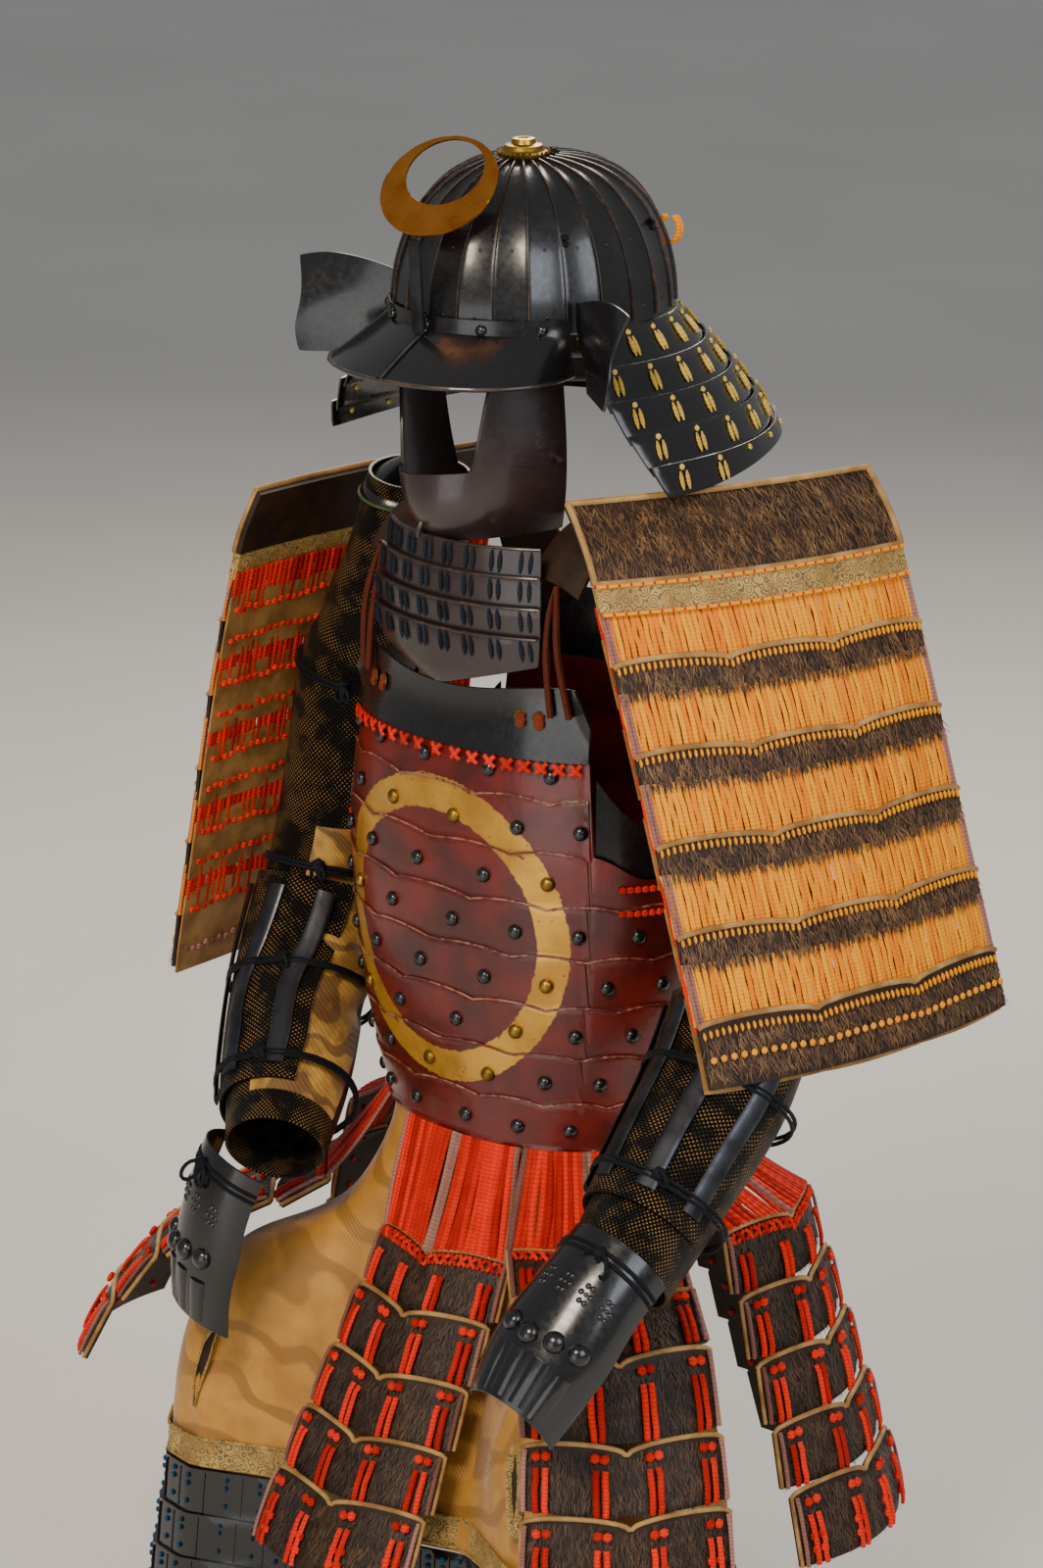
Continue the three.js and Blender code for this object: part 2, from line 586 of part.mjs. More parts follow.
// The tassets hang all round the waist. Each has a fan of lacing and five lames that widen downwards.
// A hang gives, for the end of the lacing and the lower edge of each lame, how far it stands out from
// the waist and how far it lies below it.
const STEPS = ["laced", "one", "two", "three", "four", "five"];
const slope = (out, down, lean, pitch, last) =>
  STEPS.map((_, k) => {
    const run = pitch * k + (k === 5 ? last - pitch : 0);
    return { out: out + Math.sin(rad(lean)) * run, down: down + Math.cos(rad(lean)) * run };
  });
const HANGS = {
  between: slope(30, 90, 30, 54, 66),
  side: slope(88, 50, 17, 54, 66),
  sideLeft: slope(87.3, 50.7, 17.4, 54.2, 65.6),
  back: slope(34, 90, 20, 54, 66),
  overLeftThigh: [
    { out: 50, down: 70 },
    { out: 106, down: 90 },
    { out: 162, down: 112 },
    { out: 200, down: 168 },
    { out: 220, down: 220 },
    { out: 232, down: 286 },
  ],
  overRightThigh: [
    { out: 50, down: 72 },
    { out: 100, down: 98 },
    { out: 152, down: 120 },
    { out: 198, down: 156 },
    { out: 236, down: 200 },
    { out: 270, down: 256 },
  ],
};
const TASSETS = [
  { name: "tasset_front", bearing: 2, root: 24.6, hang: "between" },
  { name: "tasset_front_left", bearing: 53, root: 24.6, hang: "overLeftThigh" },
  { name: "tasset_side_left", bearing: 104.3, root: 24.1, hang: "sideLeft" },
  { name: "tasset_back_left", bearing: 155, root: 24.6, hang: "back" },
  { name: "tasset_back_right", bearing: 206, root: 24.6, hang: "back" },
  { name: "tasset_side_right", bearing: 253, root: 20.6, hang: "side" },
  { name: "tasset_front_right", bearing: 296, root: 20.6, hang: "overRightThigh" },
];
const TASSET = { first: 70, bottom: 86, bow: 24, humps: 2, hump: 9, step: 1.6 };
function tassetPoint({ bearing, root, hang }, u, row, out = 0) {
  // Row 0 is the root of the lacing. Rows 2k + 1 and 2k + 2 are the upper and lower edge of lame k.
  const side = 2 * u - 1;
  if (row === 0) return trunkPoint(rad(bearing + side * root), WAIST_Z - GAP, 1.2 + out);
  const k = Math.floor((row - 1) / 2);
  const lower = (row - 1) % 2;
  const steps = HANGS[hang];
  const edge = steps[k + lower];
  const along = vec(steps[k + 1].out - steps[k].out, 0, steps[k].down - steps[k + 1].down).normalize();
  const notch = lower ? 0 : TASSET.hump * (1 - scallop(u, TASSET.humps));
  const stand = (lower ? 0 : SHINGLE) + k * TASSET.step + out;
  const half = mix(TASSET.first, TASSET.bottom, (k + lower) / 5);
  const reach = edge.out + along.x * notch - along.z * stand - TASSET.bow * side ** 2;
  const z = WAIST_Z - edge.down + along.z * notch + along.x * stand;
  return trunkPoint(rad(bearing), WAIST_Z)
    .setZ(z)
    .addScaledVector(vec(Math.sin(rad(bearing)), -Math.cos(rad(bearing)), 0), reach)
    .addScaledVector(vec(Math.cos(rad(bearing)), Math.sin(rad(bearing)), 0), half * side);
}
function tassets() {
  const rows = 10;
  for (const tasset of TASSETS) {
    const panel = (u, v) => tassetPoint(tasset, u, Math.round(v * rows));
    add(tasset.name, wall(panel, { across: 10, down: rows, thickness: BOARD }), "fur");
  }
}

// The thigh guard: cloth from inside the cuirass over each thigh and down over the knee, then laced lames.
// ridge is the cloth's reach from the waist's middle along the top of the thigh, where it is at height z.
// Its edges, towards the other thigh and the outside, reach as far as inner and outer and lie lower by drop.
const THIGH = [
  { z: -488, ridge: 122, inner: 102, outer: 134, drop: 0 },
  { z: -516, ridge: 122, inner: 100, outer: 132, drop: 0 },
  { z: -594, ridge: 162, inner: 112, outer: 148, drop: 8 },
  { z: -622, ridge: 218, inner: 134, outer: 160, drop: 34 },
  { z: -644, ridge: 266, inner: 158, outer: 174, drop: 56 },
  { z: -694, ridge: 298, inner: 184, outer: 186, drop: 50 },
  { z: -752, ridge: 312, inner: 202, outer: 194, drop: 26 },
  { z: -816, ridge: 316, inner: 212, outer: 198, drop: 0 },
];
const THIGH_SPAN = { inner: 2.5, rise: 27, full: 44, fall: 60, low: 84, outer: 94 };
const THIGH_LAMES = { rows: 4, pitch: 40, flare: 0.16 };
function thighPoint(sign, u, row, out = 0) {
  const bearing = mix(THIGH_SPAN.inner, THIGH_SPAN.outer, u);
  const { rise, full, fall, low } = THIGH_SPAN;
  const lift = bearing < fall ? ease((bearing - rise) / (full - rise)) : 1 - ease((bearing - fall) / (low - fall));
  const edge = mix(row.inner, row.outer, ease((bearing - full) / (fall - full)));
  const reach = mix(edge, row.ridge, lift) + out;
  const angle = rad(bearing);
  return vec(sign * reach * Math.sin(angle), -reach * Math.cos(angle), row.z - row.drop * (1 - lift));
}
function thighGuard() {
  for (const [side, sign] of Object.entries(SIDES)) {
    const cloth = (u, v) => {
      const row = rowAt(THIGH, v);
      const bearing = rad(mix(THIGH_SPAN.inner, THIGH_SPAN.outer, u));
      const waist = trunkPoint(sign * bearing, Math.max(row.z, WAIST_Z - 20), -PLATE - 1.2);
      return waist.lerp(thighPoint(sign, u, row), ease((WAIST_Z - 10 - row.z) / 50));
    };
    const shape = { across: 15, down: 11, thickness: CLOTH, mirrored: sign < 0 };
    add(`thigh_cloth_${side}`, wall(cloth, shape), "brocade");
    const last = THIGH[THIGH.length - 1];
    const rows = 2 * THIGH_LAMES.rows - 1;
    const lames = (u, v) => {
      const row = Math.round(v * rows);
      const lower = row % 2;
      const down = THIGH_LAMES.pitch * ((row - lower) / 2 + lower);
      return thighPoint(sign, u, { ...last, z: last.z - GAP - down }, THIGH_LAMES.flare * down + (lower ? 0 : 3));
    };
    add(`thigh_lames_${side}`, wall(lames, { ...shape, down: rows, thickness: BOARD }), "blackLacquer");
  }
}

cuirass();
shoulders();
chestTies();
helmet();
neckGuard();
crest();
mask();
throatGuard();
shoulderGuards();
sleeves();
handGuards();
tassets();
thighGuard();

export default armour;
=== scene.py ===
"""Laced samurai armour: lacquer, fur, lacing, mail and cords on the packed frame."""

import math
from functools import lru_cache, partial

import bmesh
import bpy
import numpy as np
from bpy.props import FloatProperty, FloatVectorProperty, IntProperty, PointerProperty
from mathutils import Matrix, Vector
from mathutils.bvhtree import BVHTree


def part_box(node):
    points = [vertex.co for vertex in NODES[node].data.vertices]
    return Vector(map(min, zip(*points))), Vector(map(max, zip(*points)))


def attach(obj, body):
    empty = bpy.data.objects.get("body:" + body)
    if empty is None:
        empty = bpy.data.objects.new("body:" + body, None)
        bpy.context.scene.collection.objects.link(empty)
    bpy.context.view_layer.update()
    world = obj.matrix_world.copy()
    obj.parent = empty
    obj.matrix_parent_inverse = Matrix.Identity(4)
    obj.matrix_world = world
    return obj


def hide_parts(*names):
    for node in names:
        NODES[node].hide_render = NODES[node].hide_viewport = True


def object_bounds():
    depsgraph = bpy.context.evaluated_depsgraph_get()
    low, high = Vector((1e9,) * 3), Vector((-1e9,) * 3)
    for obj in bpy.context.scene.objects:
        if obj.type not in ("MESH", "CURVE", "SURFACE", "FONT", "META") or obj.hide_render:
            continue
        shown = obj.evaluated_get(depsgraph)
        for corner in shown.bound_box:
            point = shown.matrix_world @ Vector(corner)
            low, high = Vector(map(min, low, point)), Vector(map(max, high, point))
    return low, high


bl_info = {
    "name": "Laced Armour",
    "version": (1, 0, 0),
    "blender": (4, 5, 0),
    "location": "3D View > Sidebar > Armour",
    "description": "Finishes, fur, lacing and cords of a laced armour",
    "category": "Add Mesh",
}

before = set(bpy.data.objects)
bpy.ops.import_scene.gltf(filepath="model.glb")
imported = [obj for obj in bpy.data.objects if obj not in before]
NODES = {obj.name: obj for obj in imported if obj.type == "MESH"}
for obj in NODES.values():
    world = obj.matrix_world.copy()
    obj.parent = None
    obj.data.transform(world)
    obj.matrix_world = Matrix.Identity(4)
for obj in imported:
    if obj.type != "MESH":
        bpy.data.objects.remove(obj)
CAD_BOX = [list(corner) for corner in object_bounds()]
MM = 0.001
SIDES = {"left": 1, "right": -1}

DOWN = np.array((0.0, 0.0, -1.0))
UP = np.array((0.0, 0.0, 1.0))


def unit(vectors):
    """Vectors of length 1 in the same directions."""
    return vectors / np.maximum(np.linalg.norm(vectors, axis=-1, keepdims=True), 1e-9)


def outward_at(bearing, rise=0.0):
    """The direction out of the armour at a bearing in degrees, level or rising."""
    turn = math.radians(bearing)
    return np.array((math.sin(turn), -math.cos(turn), rise))


def span(count):
    """Places from 0 to 1."""
    return np.linspace(0, 1, count)


# Colour and nodes

def linear(colour):
    """An sRGB hex colour as the linear colour that a node takes."""
    parts = [int(colour[i:i + 2], 16) / 255 for i in (1, 3, 5)]
    return tuple(c / 12.92 if c <= 0.04045 else ((c + 0.055) / 1.055) ** 2.4 for c in parts) + (1.0,)


NODE_KINDS = {
    # the node's type, its settings, its inputs in order with the values they start from, its output
    "shader": ("BsdfPrincipled", {}, {}, 0),
    "surface": ("OutputMaterial", {}, {"Surface": None}, None),
    "object place": ("TexCoord", {}, {}, "Object"),
    "flat place": ("TexCoord", {}, {}, "UV"),
    "noise": ("TexNoise", {}, {"Vector": None, "Scale": None, "Detail": 3.0, "Roughness": 0.55}, "Fac"),
    "cells": ("TexVoronoi", {}, {"Vector": None, "Scale": None}, "Distance"),
    "wave": ("TexWave", {}, {"Vector": None, "Scale": None, "Distortion": None, "Detail": None,
                             "Detail Scale": None}, "Fac"),
    "mark": ("Attribute", {}, {}, "Fac"),
    "step": ("MapRange", {"interpolation_type": "SMOOTHSTEP"},
             {"Value": None, "From Min": None, "From Max": None}, "Result"),
    "range": ("MapRange", {}, {"Value": None, "From Min": None, "From Max": None, "To Min": None,
                               "To Max": None}, "Result"),
    "blend": ("Mix", {"data_type": "RGBA"}, {0: None, 6: None, 7: None}, 2),
    "ramp": ("ValToRGB", {}, {"Fac": None}, "Color"),
    "bump": ("Bump", {}, {"Height": None, "Distance": None, "Strength": 1.0}, "Normal"),
    "scaled": ("Mapping", {}, {"Vector": None, "Scale": None}, 0),
    "across": ("SeparateXYZ", {}, {"Vector": None}, 0),
    "along": ("SeparateXYZ", {}, {"Vector": None}, 1),
    "away": ("VectorMath", {"operation": "DISTANCE"}, {0: None, 1: None}, "Value"),
}
for operation in ("ADD", "SUBTRACT", "MULTIPLY", "MAXIMUM", "SINE", "ABSOLUTE"):
    NODE_KINDS[operation.lower()] = ("Math", {"operation": operation}, {0: None, 1: None}, 0)

SHADER_INPUTS = {"colour": "Base Color", "roughness": "Roughness", "metallic": "Metallic", "normal": "Normal",
                 "coat": "Coat Weight", "coat_roughness": "Coat Roughness", "ior": "IOR",
                 "sheen": "Sheen Weight", "sheen_roughness": "Sheen Roughness",
                 "specular": "Specular IOR Level"}


class Look:
    """A material in the making, with the places that its textures read."""

    def __init__(self, name):
        self.material = bpy.data.materials.new(name)
        self.material.use_nodes = True
        self.tree = self.material.node_tree
        self.tree.nodes.clear()
        self.spot = self.add("object place")
        self.flat = self.add("flat place")

    def fill(self, socket, value):
        """Gives an input a number or a colour, or links it to an output."""
        if isinstance(value, bpy.types.NodeSocket):
            self.tree.links.new(value, socket)
        else:
            socket.default_value = value

    def add(self, kind, *values, stops=(), **settings):
        """Adds a node and gives back its output. The stops are a ramp's, its middle one last."""
        node_type, fixed, inputs, output = NODE_KINDS[kind]
        made = self.tree.nodes.new("ShaderNode" + node_type)
        for key, value in {**fixed, **settings}.items():
            setattr(made, key, value)
        for k, (place, colour) in enumerate(stops):
            stop = made.color_ramp.elements[k] if k < 2 else made.color_ramp.elements.new(place)
            stop.position = place
            stop.color = colour
        for socket, value in {**inputs, **dict(zip(inputs, values))}.items():
            if value is not None:
                self.fill(made.inputs[socket], value)
        return None if output is None else made.outputs[output]

    def noise(self, grain_mm, detail=3.0):
        """Clouds of about the given size."""
        return self.add("noise", self.spot, 1000 / grain_mm, detail)

    def weigh(self, first, share, second, other=1.0):
        """A weighted sum of two values."""
        second = second if other == 1.0 else self.add("multiply", second, other)
        return self.add("add", self.add("multiply", first, share), second)

    def shade(self, height, depth_mm, **inputs):
        """Sets the shader, with a bump of the given depth, and gives back the material."""
        shader = self.add("shader")
        if height:
            inputs["normal"] = self.add("bump", height, depth_mm * MM)
        for key, value in inputs.items():
            self.fill(shader.node.inputs[SHADER_INPUTS[key]], value)
        self.add("surface", shader)
        return self.material


LACQUER_IOR = 1.54


def lacquer(name, colour, worn, wear, roughness):
    """Brushed urushi lacquer over iron or hide: a deep gloss, a soft ripple, and dull worn spots."""
    look = Look(name)
    add = look.add
    broad, fine = look.noise(38), look.noise(5, 5)
    worn_spots = add("step", look.weigh(broad, 0.5, fine, 0.5), wear - 0.05, wear + 0.08)
    edge = add("mark", attribute_name="edge")
    share = add("maximum", worn_spots, add("multiply", edge, add("step", fine, 0.35, 0.6)))
    light = tuple(c * 1.35 for c in linear(colour)[:3]) + (1,)
    base = add("ramp", broad, stops=((0.3, linear(colour)), (0.75, light)))
    rough = look.weigh(share, 0.2, add("range", fine, 0.3, 0.75, roughness, roughness + 0.18))
    return look.shade(look.weigh(fine, 0.25, look.noise(16, 2)), 0.12,
                      colour=add("blend", share, base, linear(worn)), roughness=rough, coat=0.35,
                      coat_roughness=0.12, ior=LACQUER_IOR)


def metal(name, colour, tarnish, roughness=0.28, metallic=1.0, spots=0.5):
    """Sheet metal, hammered, gilded or left dark, with tarnish in soft clouds and fine scratches."""
    look = Look(name)
    cloud = look.noise(22, 6)
    base = look.add("ramp", cloud, stops=((spots - 0.15, linear(colour)), (spots + 0.2, linear(tarnish))))
    return look.shade(look.weigh(look.noise(2.5, 4), 0.3, cloud), 0.25, colour=base, metallic=metallic,
                      roughness=look.add("range", cloud, 0.3, 0.7, roughness, roughness + 0.22))


def lace(name, colour, shade, thread_mm=1.6):
    """Flat braided silk lacing: each cord a little lighter or darker, with the braid's fine ribs and painted
    shade in their troughs.
    """
    look = Look(name)
    add = look.add
    ribs = add("wave", look.spot, 160 / thread_mm, 2.0, 1.0, wave_type="BANDS", bands_direction="Z")
    share = look.weigh(add("mark", attribute_name="tint"), 0.7, look.noise(14), 0.4)
    base = add("blend", add("step", share, 0.15, 0.85), linear(shade), linear(colour))
    # painted shade: the colour darkens towards the shade colour in the troughs of the ribs
    painted_groove_shade = add("multiply", add("step", ribs, 0.6, 0.1), 0.35)
    return look.shade(ribs, 0.35, colour=add("blend", painted_groove_shade, base, linear(shade)), roughness=0.62,
                      sheen=0.05, sheen_roughness=0.4, specular=0.15)


def fur_finish(name, dark, middle, light):
    """Boar hide with its stiff hair: each hair has its own brown, paler in streaks and at the tips."""
    look = Look(name)
    share = look.weigh(look.add("mark", attribute_name="tint"), 0.36, look.noise(18, 4), 0.7)
    stops = ((0.25, linear(dark)), (0.85, linear(light)), (0.52, linear(middle)))
    return look.shade(look.noise(1.5, 2), 0.4, colour=look.add("ramp", share, stops=stops), roughness=0.55,
                      sheen=0.25, sheen_roughness=0.5)


def leather_finish(name, colour, shade, pattern=None):
    """Smoked deerskin, with grain and creases, and where there is a pattern, small stencilled motifs."""
    look = Look(name)
    add = look.add
    cloud = look.noise(24, 5)
    grain = add("cells", look.spot, 1000 / 1.8)
    base = add("blend", add("step", cloud, 0.3, 0.7), linear(shade), linear(colour))
    if pattern:
        rings = add("sine", add("multiply", add("cells", look.spot, 1000 / 7), 21.0))
        mask = add("multiply", add("step", rings, 0.1, 0.6), add("step", look.noise(7), 0.3, 0.45))
        base = add("blend", mask, base, linear(pattern))
    return look.shade(look.weigh(grain, 0.3, cloud), 0.5, colour=base, roughness=0.6, specular=0.35)


def mail_finish(name, iron, cloth_light, cloth_dark, ring_mm):
    """Black iron mail sewn over gold brocade: the cloth shows as small spots between the links."""
    look = Look(name)
    add = look.add
    scaled = add("scaled", look.flat, (1000 / ring_mm,) * 3)
    waves = [add("sine", add("multiply", add(axis, scaled), math.tau)) for axis in ("across", "along")]
    weave = add("multiply", *waves)
    cloth = add("step", weave, 0.3, 0.62)
    cloud = look.noise(20, 4)
    gold = add("blend", add("step", cloud, 0.35, 0.65), linear(cloth_dark), linear(cloth_light))
    shown = add("multiply", cloth, add("step", cloud, 0.4, 0.56))
    return look.shade(add("absolute", weave), 1.1, colour=add("blend", shown, linear(iron), gold),
                      metallic=add("multiply", add("subtract", 1.0, cloth), 0.7),
                      roughness=add("add", add("multiply", cloth, 0.35), 0.42))


def brocade_finish(name, gold, ground, figure, motif_mm=16.0):
    """Figured silk: a ribbed gold ground with small curling figures and a broad dark repeat."""
    look = Look(name)
    add = look.add
    bend = look.noise(26, 2)
    wave = add("wave", look.spot, 1000 / motif_mm / 6.3, 9.0, 2.0, 1.6, wave_type="RINGS",
               rings_direction="SPHERICAL")
    base = add("blend", add("step", bend, 0.35, 0.68), linear(ground), linear(gold))
    base = add("blend", add("multiply", add("step", wave, 0.72, 0.9), 0.75), base, linear(figure))
    rib = add("wave", look.spot, 130.0, bands_direction="DIAGONAL")
    return look.shade(look.weigh(rib, 0.3, bend), 0.7, colour=base, roughness=0.55, sheen=0.5,
                      sheen_roughness=0.35)


# The ring of gold leaf on the front, in mm
RING = {"z": -325.0, "outer": 129.0, "inner": 101.0}


def russet_finish(name, colour, dark, worn, gold):
    """Russet lacquer on iron plates, with a ring of gold leaf on the front, thin at the plates' edges."""
    look = Look(name)
    add = look.add
    broad, fine, pits = look.noise(46, 4), look.noise(6, 5), look.noise(2.4, 3)
    base = add("blend", add("step", broad, 0.32, 0.68), linear(dark), linear(colour))
    edge = add("mark", attribute_name="edge")
    share = add("multiply", edge, add("step", fine, 0.38, 0.62))
    worn_base = add("blend", add("multiply", share, 0.65), base, linear(worn))
    reach = add("away", look.flat, (0.0, RING["z"] * MM, 0.0))
    rough_edge = look.weigh(add("subtract", fine, 0.5), 0.006, reach)
    band = add("multiply", add("step", rough_edge, RING["inner"] * MM, (RING["inner"] + 1) * MM),
               add("step", rough_edge, RING["outer"] * MM, (RING["outer"] - 1) * MM))
    leaf = add("subtract", fine, add("multiply", edge, 0.2))
    flaked = add("multiply", band, add("step", leaf, 0.27, 0.36))
    gilded = add("blend", add("step", broad, 0.3, 0.7), linear(gold), linear("#b9832a"))
    return look.shade(look.weigh(pits, 0.35, fine), 0.35, colour=add("blend", flaked, worn_base, gilded),
                      metallic=add("multiply", flaked, 0.55),
                      roughness=add("add", add("multiply", fine, 0.22), 0.26), coat=0.3, coat_roughness=0.15,
                      ior=LACQUER_IOR)


def floor_finish(name):
    """Pale painted studio floor with a faint unevenness."""
    look = Look(name)
    cloud = look.noise(900)
    stops = ((0.3, linear("#d9d7d3")), (0.7, linear("#e2e0dc")))
    return look.shade(None, 0.0, colour=look.add("ramp", cloud, stops=stops), roughness=0.8)


def hex_of(colour):
    return "#%02x%02x%02x" % tuple(int(round(c * 255)) for c in colour)


FINISHES = {
    # glossy black lacquer of boards, visor and lames, and the bowl's, a little duller
    "black lacquer": (lacquer, "black_lacquer_on_iron", "#111011", "#33261c", 0.8, 0.16),
    "helmet lacquer": (lacquer, "black_lacquer_helmet", "#121112", "#33241a", 0.8, 0.2),
    # the mask's and throat lames' brown-black lacquer, worn through on ridges and rims
    "brown lacquer": (lacquer, "brown_black_lacquer", "#2a1d1c", "#4e3022", 0.66, 0.26),
    "worn ridge": (lacquer, "worn_ridge_lacquer", "#241914", "#4f3222", 0.56, 0.3),
    # the cuirass plates' russet lacquer and its rubbed upper edges
    "russet lacquer": (russet_finish, "russet_lacquer_on_iron", "#701408", "#470c06", "#7d4a38"),
    "worn edge": (lacquer, "worn_russet_edges", "#5a2018", "#a0705a", 0.5, 0.34),
    # gilt copper of the fittings, the crest's copper-gold sheet, and the splints' dark iron
    "gilt": (metal, "gilt_copper", "#b8923c", "#6b5020"),
    "copper": (metal, "copper_gold_crest", "#dc9040", "#98561e", 0.24, 1.0, 0.52),
    "iron": (metal, "blued_iron", "#4e4e53", "#29282b", 0.3, 0.9),
    # boar fur of the tassets, and the shoulder guards' paler brown one
    "fur": (fur_finish, "boar_fur", "#150c06", "#33200f", "#6b4a2a"),
    "grey fur": (fur_finish, "brown_boar_fur", "#23140a", "#56361a", "#a47a4a"),
    # the hide under the fur, tan bindings, the lames' backs, and the stencilled bands
    "hide": (leather_finish, "dark_hide", "#3a2514", "#22140a"),
    "tan leather": (leather_finish, "tan_leather", "#c49a5e", "#8c6434"),
    "back leather": (leather_finish, "smoked_leather_back", "#b08448", "#80592a"),
    "band leather": (leather_finish, "printed_band_leather", "#c8a45a", "#a07a3a", "#6c5c3c"),
    # the thigh guards' figured silk, and the gold brocade of the sleeves' lining
    "thigh silk": (brocade_finish, "figured_gold_silk", "#cc9038", "#b67e2c", "#92621e", 30.0),
    "brocade": (brocade_finish, "gold_brocade", "#c8973f", "#8a6226", "#5a3a18"),
    # braided silk lacing, by colour
    "red lace": (lace, "red_silk_lace", "#ff2c06", "#a81404"),
    "mauve lace": (lace, "mauve_silk_lace", "#b07c70", "#74483f"),
    "pale lace": (lace, "pale_yellow_silk_lace", "#f0cf62", "#b08a34"),
    "navy lace": (lace, "navy_silk_lace", "#26313f", "#0d1218"),
    "green lace": (lace, "green_silk_edging", "#5c6e3e", "#333f24"),
    "blue lace": (lace, "blue_silk_lace", "#1f5a80", "#0c2a40"),
    # thick braided cords of the chest ties, and of sleeves and hand guards
    "cord": (lace, "red_brown_cord", "#9a4526", "#52200f", 3.0),
    "black cord": (lace, "blue_black_cord", "#14161d", "#07080b", 3.0),
    "mail": (mail_finish, "mail_on_brocade", "#14100c", "#a87c3c", "#5c4220", 4.2),
    "floor": (floor_finish, "studio_floor"),
}


@lru_cache(None)
def finish(name):
    """Each finish of the armour, made once. The user sets the colours of the orange lacing and the ring."""
    settings = bpy.context.scene.laced_armour
    if name == "orange lace":
        return lace("orange_silk_lace", hex_of(settings.orange), "#ee8412")
    maker, *values = FINISHES[name]
    return maker(*values, *([hex_of(settings.ring)] if maker is russet_finish else []))


# Tables and surfaces of the frame, in millimetres

def table(columns, *rows):
    """Rows as dictionaries."""
    return [dict(zip(columns.split(), row)) for row in rows]


def mix(a, b, t):
    """The value at t on the way from a to b."""
    return a + (b - a) * t


def ease(t):
    t = min(max(t, 0.0), 1.0)
    return t * t * (3 - 2 * t)


def power(value, exponent):
    """A power that keeps the value's sign."""
    return math.copysign(abs(value) ** exponent, value)


def row_at(rows, t):
    """A row of a table at place t, from 0 to 1, each column on a smooth curve."""
    place = min(max(t, 0.0), 1.0) * (len(rows) - 1)
    i = min(int(place), len(rows) - 2)
    s = place - i
    before = rows[max(i - 1, 0)]
    after = rows[min(i + 2, len(rows) - 1)]
    row = {}
    for key in rows[0]:
        a, b = rows[i][key], rows[i + 1][key]
        leave = (b - before[key]) / (2 if i > 0 else 1)
        arrive = (after[key] - a) / (2 if i + 2 < len(rows) else 1)
        row[key] = (a * (2 * s ** 3 - 3 * s ** 2 + 1) + leave * (s ** 3 - 2 * s ** 2 + s)
                    + b * (3 * s ** 2 - 2 * s ** 3) + arrive * (s ** 3 - s ** 2))
    return row


TABLES = {
    "trunk": table("z width depth y", (-60, 146, 92, 8), (-112, 156, 108, 5), (-170, 166, 120, 2),
                   (-240, 173, 127, 0), (-310, 172, 128, 0), (-380, 165, 124, 0), (-445, 152, 116, 0),
                   (-500, 138, 106, 0), (-540, 134, 102, 0)),
    "guard_left": table("z fx fy rx ry bow", (46, 150, -120, 230, 137, 10), (-8, 172, -126, 250, 140, 16),
                        (-104, 208, -128, 276, 148, 20), (-240, 256, -130, 304, 165, 22),
                        (-384, 302, -128, 330, 188, 22)),
    "guard_right": table("z fx fy rx ry bow", (0, -208, -124, -196, 140, 10),
                         (-56, -226, -128, -206, 142, 16), (-152, -250, -132, -228, 146, 20),
                         (-286, -276, -136, -254, 152, 22), (-424, -302, -140, -280, 160, 22)),
    "sleeve_left": table("x y z wide deep", (151.4, 8, 12, 36, 48), (184, 8, -76, 46, 58),
                         (212, 8, -150, 48, 60), (230, 2, -240, 48, 56), (244.4, -14, -330, 52, 56),
                         (258.4, -62, -404, 54, 56), (270, -132, -462, 48, 52), (280, -204, -520, 42, 46)),
    "sleeve_right": table("x y z wide deep", (-153, 8, 3, 36, 48), (-172, 6, -76, 42, 56),
                          (-215, -4, -164, 42, 54), (-223, -16, -257, 44, 52), (-227, -30, -340, 48, 52),
                          (-208, -76, -424, 52, 54), (-165, -134, -482, 50, 52), (-123, -190, -526, 40, 42)),
}


@lru_cache(None)
def row_at_height(name, z):
    """The row of a table at a height, found by halving, as z falls down the table."""
    low, high = 0.0, 1.0
    for _ in range(22):
        middle = (low + high) / 2
        if row_at(TABLES[name], middle)["z"] > z:
            low = middle
        else:
            high = middle
    return row_at(TABLES[name], (low + high) / 2)


WAIST_Z = -500.0
FRONT_TOP_Z = -158.0
CHEST_TOP_Z = -112.0
PLATE_PITCH = (FRONT_TOP_Z - WAIST_Z) / 8
ARMHOLE_Z = FRONT_TOP_Z - 2 * PLATE_PITCH


def trunk_point(bearing, z, out=0.0):
    """bearing is in degrees, 0 in front, and grows towards the wearer's left."""
    ring = row_at_height("trunk", round(z * 2) / 2)
    turn = math.radians(bearing)
    x = (ring["width"] + out) * power(math.sin(turn), 0.9)
    return (x, ring["y"] - (ring["depth"] + out) * power(math.cos(turn), 0.9), z)


def guard_point(side, u, z, out=0.0):
    """A point of a shoulder guard. u runs from its front edge to its rear edge."""
    row = row_at_height("guard_" + side, round(z * 2) / 2)
    across = np.array((row["rx"] - row["fx"], row["ry"] - row["fy"], 0.0))
    normal = np.array((across[1], -across[0], 0.0)) / np.linalg.norm(across) * SIDES[side]
    place = np.array((mix(row["fx"], row["rx"], u), mix(row["fy"], row["ry"], u), z))
    return place + normal * (row["bow"] * 4 * u * (1 - u) + out)


def sleeve_frame(side, t):
    """A row of the sleeve's table with its centre, and the directions across and to the front."""
    rows = TABLES["sleeve_" + side]
    row, ahead, behind = row_at(rows, t), row_at(rows, min(t + 0.02, 1)), row_at(rows, max(t - 0.02, 0))
    along = Vector([ahead[k] - behind[k] for k in "xyz"]).normalized()
    across = -Vector((0, -1, 0)).cross(along)
    across.normalize()
    front = -along.cross(across)
    front.normalize()
    if front.y > 0:
        front.negate()
    if across.x < 0:
        across.negate()
    return row, Vector([row[k] for k in "xyz"]), across, front


